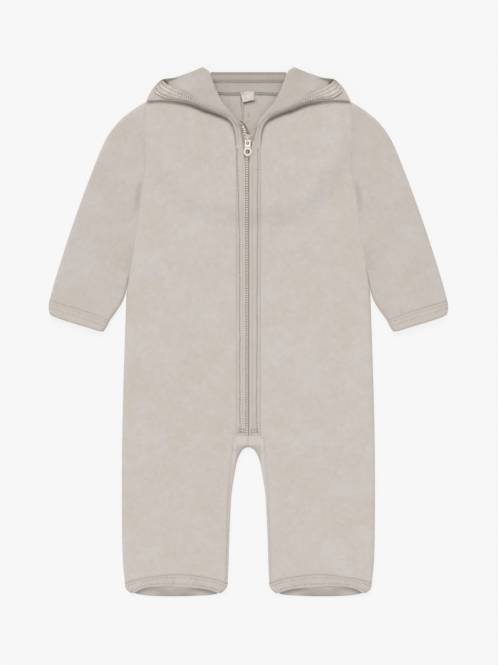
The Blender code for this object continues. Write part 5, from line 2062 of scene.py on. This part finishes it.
    def band(self, side: Side) -> None:
        """The band on the hood's edge, from the zip facing to its wide corner.

        Args:
            side: which half.
        """
        rows = np.linspace(0, 1, 210)
        edges = dense(HOOD_BAND)
        inner = along(edges[:, :2], rows)
        outer = along(edges[:, 2:], rows)
        across = np.linspace(0, 1, 29)[None, :, None]
        plan = inner[:, None] + across * (outer - inner)[:, None]
        width = np.linalg.norm(outer - inner, axis=1)[:, None]
        out = across[..., 0]
        climb = smoothstep((plan[..., 1] - self.band_start) / self.band_climb)
        rim = np.minimum(out, 1 - out) * width
        crest = (0.8 * np.sin(math.pi * out) - 1.1 * (1 - rounded(rim / 1.0))) * (0.3 + 0.7 * climb)
        wide = smoothstep((width - 4.2) / 3.5)
        lines = np.max([dip((out - place) * width, 0.55) for place in self.band_lines], axis=0)
        groove = lines * wide
        relief = BAND_RELIEF.height(plan * side.turn) - 0.4 * groove
        high = self.side_top(plan) + HOOD_BAND_GAP + BAND_WALL
        low = BODY_HEIGHT + LIFT + 0.25 - 1.4 * (1 - smoothstep((plan[..., 1] - 206) / 10))
        height = low + (high - low) * climb + crest + relief
        end = smoothstep((rows[:, None] - 0.9) / 0.1)
        # Painted shade in the stitch grooves and at the band's rims, more towards its wide corner,
        # and uneven.
        shade = (1.7 * groove + 1.1 * dip(rim, 0.6) * climb + 0.4 * end * wide
                 + 0.5 * Noise(113).at(plan * side.turn, 3.0) * wide)
        wall = Wall(with_height(plan, height), side=side, wall=BAND_WALL, shade=shade)
        name = f"hood_edge_band_{side}"
        self.shop.cloth(name, wall, EDGE_BAND, f"hood_band_{side}",
                        Cut(0.0158, 0.136, 0.00118, Held.FOLDED, (f"hood_side_{side}",)))
        paths = [wall.path(np.linspace(0.68, 0.985, 60), place) for place in self.band_lines]
        paths.append(wall.path(np.linspace(0.3, 0.62, 60), 0.45))
        self.shop.sew(f"hood_stitches_{side}", Stitches(2.5, 1.6, 0.34, 0.12, hole=0.64), paths,
                      name, PALE_THREAD)

    def back(self) -> None:
        """The inside of the hood behind the neck, rolled over at the top, and its band."""
        profile = dense(HOOD_BACK_SECTION, 8) + [0, NAPE_TOP]
        wall = Wall(self.across(profile, HOOD_BACK_HALF, LAPEL_RELIEF))
        self.shop.cloth("hood_nape", wall, NAPE_FLEECE_SHADED, "hood_back",
                        Cut(0.086, 0.027, 0.0023, Held.LAID, ("hood_folded",)))
        outer = dense(HOOD_BACK_SECTION[BAND_FROM:], 8) + [0, NAPE_TOP]
        steps = np.gradient(outer, axis=0)
        normals = unit(np.stack([-steps[:, 1], steps[:, 0]], axis=1))
        run = lengths(outer)
        groove = np.max([dip(run - place, 0.5) for place in self.back_lines], axis=0)
        outer = outer + normals * (0.2 + BAND_WALL - 0.35 * groove[:, None])
        grid = self.across(outer, HOOD_BAND_BACK_HALF, BAND_RELIEF)
        ribs = np.sin(2 * math.pi * grid[..., 0] / RIB_PITCH)
        middle = (smoothstep((run - 1.4) / 0.8) * smoothstep((6.2 - run) / 0.8))[:, None]
        grid[..., 2] += 0.2 * ribs * middle
        # Painted shade in the stitch grooves and where the band rolls down over the top, and the
        # ribs painted lighter on their crests and darker between them.
        shade = (0.5 * groove + 1.4 * smoothstep((run - 7.0) / 1.5))[:, None] + middle * (
            0.1 - 1.5 * ribs) * (0.5 + 0.4 * Noise(101).at(grid, 6.0))
        band = Wall(grid, wall=BAND_WALL, shade=shade)
        self.shop.cloth("hood_top_band", band, NAPE_BAND_SHADED, "hood_band_back",
                        Cut(0.0855, 0.0145, 0.0012, Held.FOLDED, ("hood_nape",)))
        across = np.linspace(0.01, 0.99, 60)
        paths = [band.path(place / run[-1], across) for place in self.back_lines]
        self.shop.sew("hood_top_stitches", Stitches(2.5, 1.9, 0.22), paths, "hood_top_band",
                      SHADED_THREAD)

    @staticmethod
    def across(profile: Array, half: float, relief: Relief) -> Array:
        """Grid of a section carried across the garment, with the cloth's relief.

        Args:
            profile: the section's y and height.
            half: half the width.
            relief: the cloth's small heights.

        Returns:
            The grid.
        """
        across = np.linspace(-half, half, 151)
        grid = np.zeros((len(profile), len(across), 3))
        grid[..., 0] = across[None, :]
        grid[..., 1:] = profile[:, None, :]
        grid[..., 2] += 0.6 * relief.height(grid[..., :2])
        return grid

    def nape_seam(self) -> None:
        """The neck seam inside the back: a low covered ridge, overlocked across."""
        x = np.linspace(-41.5, 41.5, 90)
        y = 269.4 + 0.35 * np.sin(x / 7.0) + 0.2 * np.sin(x / 2.9)
        rise = np.array([0.05, 0.6, 0.8, 0.7, 0.05])
        offset = np.array([-2.0, -1.3, 0.0, 1.4, 2.1])
        grid = np.stack([np.broadcast_to(x[:, None], (90, 5)), y[:, None] + offset[None],
                         np.broadcast_to(NAPE_TOP + rise[None], (90, 5))], axis=2)
        # Painted shade along the seam, uneven, and darker at its feet on both sides.
        shade = 0.35 + np.abs(Noise(103).at(grid, 2.0)) + 0.4 * (np.abs(offset)[None] > 1.6)
        wall = Wall(grid, wall=0.6, shade=shade)
        self.shop.add("nape_seam", wall.mesh("nape_seam"), NAPE_FLEECE_SHADED, on="hood_nape")
        rows = np.linspace(0.01, 0.99, 160)
        zigzag = 0.5 + 0.24 * np.sign(np.sin(rows * 83 / 3.8 * 2 * math.pi))
        self.shop.sew("nape_overlock", Stitches(1.9, 2.6, 0.24, 0.2, 0.9, hole=0.66),
                      [wall.path(rows, zigzag)], "hood_nape")

    def build(self) -> None:
        """Build the hood and what is sewn on it."""
        self.crown()
        self.back()
        self.nape_seam()
        for side in Side:
            self.side(side)
            self.band(side)


@dataclass(frozen=True)
class Tooth:
    """One moulded tooth: a block with a rounded outline and softened ends."""
    reach: float = 2.9
    width: float = 1.5
    height: float = 1.6
    sides: int = 12

    def template(self) -> tuple[Array, list[list[int]]]:
        """Rings of a superellipse of power 3, drawn in at the top and the bottom.

        Returns:
            Its points, and its faces as point numbers.
        """
        angle = np.linspace(0, 2 * math.pi, self.sides, endpoint=False)
        cosine, sine = np.cos(angle), np.sin(angle)
        radius = (np.abs(cosine) ** 3 + np.abs(sine) ** 3) ** (-1 / 3)
        outline = np.stack([radius * cosine * self.reach / 2, radius * sine * self.width / 2],
                           axis=1)
        rise = np.array([0.0, 0.18, 0.55, 0.86, 1.0]) * self.height
        scale = np.array([0.86, 1.0, 1.0, 0.88, 0.6])
        rings = outline[None] * scale[:, None, None]
        points = with_height(rings, rise[:, None]).reshape(-1, 3)
        number = np.arange(len(points)).reshape(len(rise), self.sides)
        around = closed(number)
        faces = Wall.quads(around[:-1], around[1:]).tolist()
        return points, faces + [number[0][::-1].tolist(), number[-1].tolist()]


# Painted shadow along the flap's fold beside the open teeth, and above the slider.
UNDERLAP_STROKES = [
    Stroke([(-10.8, 240.0), (-6.5, 236.6), (-2.8, 231.6), (-0.4, 225.5), (0.4, 219)], 1.1, 0.3,
           4.8, uneven=0.15),
    Stroke([(-3.2, 224.2), (1.2, 223.2)], 1.2, 0.2, 4.8, uneven=0.1),
]
TOPSTITCH_RIGHT = table(
    Point, (9.0, ZIP_BOTTOM), (9.2, -60), (9.7, -20), (9.8, 60), (10.2, 100), (10.4, 140),
    (10.3, 172), (11.0, 207))
TOPSTITCH_LEFT = table(
    Point, (9.3, ZIP_BOTTOM), (9.8, -60), (9.9, 93), (10.6, 127), (11.2, 150), (12.0, 172),
    (12.5, 207))
# Painted shade along the pressed V-line above the slider.
FACING_STROKES = [
    Stroke([(6.2, 214), (7.2, 221.8), (9.2, 229), (12.6, 236.5)], 0.9, 0.4, 3.0, fades=True),
]
# Painted shadows beside the slider and along the open teeth.
TAPE_STROKES = [
    Stroke([(0.9, 218.4), (2.4, 215.2), (4.2, 209.6)], 0.9, 0.0, 3.6, uneven=0.1),
    Stroke([(-9.2, 235.6), (-7.4, 231.0), (-6.0, 225.5)], 0.7, 0.0, 3.2),
]


@dataclass
class Zip:
    """The zip: its tapes, its teeth, the facings over them and the flap behind."""
    shop: Wardrobe
    facing_columns: int = 34
    facing_step: float = 1.1
    tape_columns: int = 24
    tape_step: float = 1.7
    fold_line_end: float = 190.0
    stitch_start: float = ZIP_BOTTOM + 4.0
    stitch_end: float = 207.0
    bar_rows: tuple[float, float] = (-109.3, -112.6)

    @staticmethod
    def strip(rows: Sequence[EdgeRow], shares: Array, step: float) -> Array:
        """Plan grid of a long strip.

        Args:
            rows: the strip's edges, from its lower end.
            shares: the columns' places across it.
            step: distance between the grid's rows.

        Returns:
            The grid.
        """
        line = as_array(rows)
        count = int((line[-1, 1] - line[0, 1]) / step)
        edges = between(np.linspace(line[0, 1], line[-1, 1], count), line[:, 1], line)
        out = shares[None, :, None]
        return edges[:, None, :2] * (1 - out) + edges[:, None, 2:] * out

    def facing(self, side: Side, rows: Sequence[EdgeRow], hump: float,
               stitch_line: Sequence[Point], inner_line: float) -> None:
        """A facing: its inner edge is folded over, one line of stitches holds it, and two short bars
        of stitches cross its lower end.

        Args:
            side: which half.
            rows: its edges.
            hump: how far the fold stands up.
            stitch_line: the line of the topstitch.
            inner_line: x of the pressed line beside the fold.
        """
        plan = self.strip(rows, np.linspace(0, 1, self.facing_columns), self.facing_step)
        x, y = plan[..., 0], plan[..., 1]
        wander = 0.22 * np.sin(y / 9.0 + side.value) + 0.14 * np.sin(y / 3.7)
        topstitch = x_at(as_array(stitch_line), y)
        from_edge = x - plan[:, :1, 0]
        folded = hump * (1 - smoothstep((from_edge - 2.2) / 3.0))
        rim = -0.9 * (1 - rounded(from_edge / 1.3))
        seam = dip(x - ZIP_EDGE, 1.1)
        outer_line = dip(x - topstitch - wander, 0.8)
        fold_line = dip(x - inner_line - 0.6 * wander, 0.55) * (
            y < self.fold_line_end)
        bars = np.max([dip(y - bar, 0.8) for bar in self.bar_rows], axis=0) * (
            x < topstitch) * (from_edge > 1.2)
        depth, pressed = press(plan, FACING_STROKES)
        patchy = 0.5 + 0.5 * Noise(127).at(plan * side.turn, 23.0)
        # Painted shade along the seam, the topstitch, the pressed fold line, the stitch bars and the
        # V-line.
        shade = np.max([0.25 * seam * patchy, 0.2 * outer_line * patchy, 0.3 * fold_line,
                        1.5 * bars, pressed], axis=0)
        pucker = 0.16 * np.sin(2 * math.pi * y / 6.3 + 3 * Noise(107).at(plan, 14.0)) * dip(
            x - topstitch, 2.4)
        height = (BODY_HEIGHT + folded + rim - 0.35 * seam - 0.2 * outer_line - 0.3 * fold_line
                  - 0.35 * bars - depth + pucker + lift(plan) + BAND_RELIEF.height(plan * side.turn))
        wall = Wall(with_height(plan, height), wall=FACING_WALL, side=side, probe=(0, 0),
                    upright=np.ones(height.shape, dtype=bool), shade=shade)
        name = f"zip_facing_cloth_{side}"
        self.shop.cloth(name, wall, FACING_FLEECE, f"zip_facing_{side}",
                        Cut(0.0131, 0.3495, 0.0044 if side is Side.RIGHT else 0.0033, Held.FOLDED,
                            (f"zip_tape_cloth_{side}",)))
        row = np.linspace(0, 1, len(plan))
        levels = y[:, 0]
        share = ((topstitch + wander)[:, 0] - plan[:, 0, 0]) / (plan[:, -1, 0] - plan[:, 0, 0])
        sewn = (levels > self.stitch_start) & (levels < self.stitch_end)
        paths = [wall.path(row[sewn], share[sewn])]
        for bar in self.bar_rows:
            at = np.interp(bar, levels, row)
            paths.append(wall.path(at, np.linspace(0.2, 0.75, 12)))
        self.shop.sew(f"zip_topstitch_{side}", Stitches(2.9, 1.7, 0.52, 0.1, hole=0.76), paths,
                      name, PALE_THREAD)

    def tape(self, side: Side, rows: Sequence[EdgeRow]) -> None:
        """A woven tape under the facing.

        Args:
            side: which half.
            rows: its edges.
        """
        plan = self.strip(rows, np.linspace(0, 1, self.tape_columns), self.tape_step)
        closed = 1 - smoothstep((plan[..., 1] - 208) / 6)
        # Painted shade on the tape between the closed teeth, and painted light past them by the
        # facing's edge.
        shade = closed * (0.4 - 2.4 * smoothstep((plan[..., 0] - 2.6) / 0.6))
        shade = shade + press(plan * side.turn, TAPE_STROKES)[1]
        wall = Wall(with_height(plan, TAPE_TOP + lift(plan)), wall=TAPE_WALL, side=side,
                    probe=(0, 0), upright=np.ones(plan.shape[:2], dtype=bool), shade=shade)
        cut = Cut(0.011, 0.35, 0.0038, Held.LAID, (f"front_panel_{side}",))
        self.shop.cloth(f"zip_tape_cloth_{side}", wall, TAPE_RIBBON, f"zip_tape_{side}", cut,
                        "zip_tape")

    def teeth(self, side: Side, chain: Sequence[Point], phase: float,
              base: float) -> None:
        """The teeth of one tape, one each TOOTH_PITCH, turned square to the tape's edge.

        Args:
            side: which half.
            chain: the line of the teeth's middles.
            phase: how far up the line they start, in pitches.
            base: height of their undersides over the table, before the hood's lift.
        """
        line = dense(chain)
        run = lengths(line)
        count = int((run[-1] - 1.5 * phase) / TOOTH_PITCH)
        shares = (np.arange(count) + 0.5 + phase) * TOOTH_PITCH / run[-1]
        spot = along(line, shares) * side.turn
        tangent = unit(along(line, shares + 0.5 / run[-1]) * side.turn - spot)
        normal = np.stack([tangent[:, 1], -tangent[:, 0]], axis=1)
        shape, faces = Tooth().template()
        points = (spot[:, None] + shape[None, :, :1] * normal[:, None]
                  + shape[None, :, 1:2] * tangent[:, None])
        points = with_height(points, (lift(spot) + base)[:, None] + shape[None, :, 2])
        name = f"zip_teeth_{side}"
        mesh = smooth_mesh(name, points, repeated(faces, count, len(shape)))
        self.shop.add(name, mesh, RESIN, "zip_teeth", replaces=[f"zip_chain_{side}"],
                      on=f"zip_tape_cloth_{side}")

    def underlap(self) -> None:
        """The flap of cloth behind the slider, with painted shadow along its fold beside the open
        teeth.
        """
        out = np.linspace(0, 1, 26)
        plan = self.strip(UNDERLAP, out, 1.0)
        rim = -0.5 * (1 - rounded(np.minimum(out, 1 - out)[None] * 11.5 / 1.2))
        depth, shade = press(plan, UNDERLAP_STROKES)
        height = UNDERLAP_TOP + rim - depth + lift(plan) + 0.6 * BAND_RELIEF.height(plan)
        wall = Wall(with_height(plan, height), wall=UNDERLAP_WALL, probe=(0, 0),
                    upright=np.ones(height.shape, dtype=bool), shade=shade)
        self.shop.cloth("zip_flap", wall, FACING_FLEECE, "zip_underlap",
                        Cut(0.0135, 0.051, 0.00057, Held.LAID, ("back_panel_left",)))
        tack = [wall.path(np.linspace(0.955, 0.985, 8) - 0.03 * step, 0.2 + 0.16 * step)
                for step in range(3)]
        self.shop.sew("zip_flap_tack", Stitches(1.3, 1.5, 0.3, 0.1, 0.7, hole=0.4), tack,
                      "zip_flap")

    def build(self) -> None:
        """Build the zip but for its slider."""
        self.facing(Side.RIGHT, FACING_RIGHT, 1.0, TOPSTITCH_RIGHT, 4.9)
        self.facing(Side.LEFT, FACING_LEFT, 0.15, TOPSTITCH_LEFT, 5.7)
        self.tape(Side.RIGHT, TAPE_RIGHT)
        self.tape(Side.LEFT, TAPE_LEFT)
        self.teeth(Side.RIGHT, CHAIN_RIGHT, 0.5, TAPE_TOP - 0.5)
        self.teeth(Side.LEFT, CHAIN_LEFT, 0.0, TAPE_TOP + 0.6)
        self.underlap()


@dataclass
class Metalwork:
    """The slider and its pull tab: the plain solids with softened edges."""
    shop: Wardrobe
    merge: float = 0.00001
    flat_angle: float = 2.0

    def soften(self, node: str, name: str, width: float, body: Body, metal: PaleMetal) -> None:
        """Copy a plain solid, merge it and round its edges.

        Args:
            node: the plain solid.
            name: the piece's name.
            width: the bevel, in metres.
            body: what it moves with.
            metal: its finish.
        """
        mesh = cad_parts[node].data.copy()
        mesh.name = name
        mesh.materials.clear()
        work = bmesh.new()
        work.from_mesh(mesh)
        bmesh.ops.remove_doubles(work, verts=work.verts, dist=self.merge)
        bmesh.ops.dissolve_limit(work, angle_limit=math.radians(self.flat_angle),
                                 verts=work.verts, edges=work.edges)
        work.to_mesh(mesh)
        work.free()
        piece = self.shop.add(name, mesh, metal, "metal", body, [node])
        bevel = piece.modifiers.new("soft_edges", "BEVEL")
        bevel.width = width
        bevel.segments = 3
        bevel.limit_method = "ANGLE"
        bevel.angle_limit = math.radians(35)
        bevel.use_clamp_overlap = True
        mesh.shade_smooth()
        mesh.set_sharp_from_angle(angle=math.radians(40))

    def build(self) -> None:
        """Build both."""
        self.soften("zip_slider", "slider_body", 0.0002, Body.GARMENT, SLIDER_METAL)
        self.soften("pull_tab", "pull_tab_plate", 0.0003, Body.TAB, METAL)


@dataclass
class Label:
    """The neck label: a loop of satin ribbon, left bare."""
    shop: Wardrobe

    def build(self) -> None:
        """Its lower edge curls up a little from the cloth, and its fold is soft."""
        line = as_array(LABEL)
        up = out = np.linspace(0, 1, 26)
        edges = line[0][None] * (1 - up[:, None]) + line[1][None] * up[:, None]
        plan = (edges[:, None, :2] * (1 - out[None, :, None])
                + edges[:, None, 2:] * out[None, :, None])
        curl = 1.7 * (1 - smoothstep(up / 0.7))[:, None] * (0.55 + 0.45 * out[None])
        crumple = Noise(109).at(plan, 2.4)
        wave = 0.15 * np.sin(9 * out[None] + 4 * up[:, None]) + 0.2 * crumple * (1 - up[:, None])
        height = WALL + 1.0 + lift(plan) + curl + wave
        # Painted light and shade: the label is coloured lighter where the crumple noise rises and
        # darker where it sinks.
        wall = Wall(with_height(plan, height), wall=0.6, shade=-0.7 * crumple)
        self.shop.cloth("neck_label", wall, LABEL_RIBBON, "label",
                        Cut(0.0158, 0.0128, 0.00017, Held.FOLDED, ("nape_seam",)), "label")


# ---- the studio


@dataclass
class Studio:
    """Floor, soft light and a camera that looks straight down."""
    photo_width: int = 498
    photo_height: int = 665
    mm_per_pixel: float = 1.13
    centre_x: float = 248.4
    centre_y: float = 332.6
    lens: float = 85.0
    sensor: float = 36.0
    focus_height: float = 5.0

    def camera(self) -> None:
        """Stand the camera where the photograph's height just fills its frame."""
        data = bpy.data.cameras.new("camera")
        data.lens = self.lens
        data.sensor_width = self.sensor
        data.clip_end = 20.0
        camera = bpy.data.objects.new("camera", data)
        bpy.context.scene.collection.objects.link(camera)
        half = self.photo_height * self.mm_per_pixel / 2
        away = half / (self.sensor / 2 / self.lens)
        x = (self.photo_width / 2 - self.centre_x) * self.mm_per_pixel
        y = (self.centre_y - self.photo_height / 2) * self.mm_per_pixel
        camera.location = (x * MM, y * MM, (away + self.focus_height) * MM)
        bpy.context.scene.camera = camera

    def floor(self, shop: Wardrobe) -> None:
        """A wide plane at the table's height.

        Args:
            shop: makes the floor's material.
        """
        mesh = bpy.data.meshes.new("floor")
        reach = 6.0
        low = -0.0001
        mesh.from_pydata([(-reach, -reach, low), (reach, -reach, low), (reach, reach, low),
                          (-reach, reach, low)], [], [(0, 1, 2, 3)])
        mesh.materials.append(shop.material(Table()))
        floor = bpy.data.objects.new("floor", mesh)
        bpy.context.scene.collection.objects.link(floor)

    def light(self) -> None:
        """An even sky, and two broad lamps, the stronger one beyond the hood."""
        world = bpy.data.worlds.new("soft_sky")
        world.use_nodes = True
        world.node_tree.nodes["Background"].inputs["Color"].default_value = (1, 1, 1, 1)
        world.node_tree.nodes["Background"].inputs["Strength"].default_value = 0.62
        bpy.context.scene.world = world
        for name, turn, power, spread in (("key", (-40, 0, 10), 1.15, 26),
                                          ("fill", (48, 0, -30), 0.22, 60)):
            data = bpy.data.lights.new(name, "SUN")
            data.energy = power
            data.angle = math.radians(spread)
            lamp = bpy.data.objects.new(name, data)
            lamp.rotation_euler = [math.radians(angle) for angle in turn]
            bpy.context.scene.collection.objects.link(lamp)
        bpy.context.scene.view_settings.view_transform = "Standard"

    def build(self, shop: Wardrobe) -> None:
        """Set up the studio.

        Args:
            shop: makes the floor's material.
        """
        self.camera()
        self.floor(shop)
        self.light()


def main() -> None:
    """Build every piece in order."""
    logging.basicConfig(level=logging.INFO, format="%(name)s %(message)s")
    shop = Wardrobe()
    Studio().build(shop)
    BodyPanels(shop).build()
    Sleeves(shop).build()
    LegBands(shop).build()
    Gusset(shop).build()
    Hood(shop).build()
    Zip(shop).build()
    Metalwork(shop).build()
    Label(shop).build()


if __name__ == "__main__":
    main()
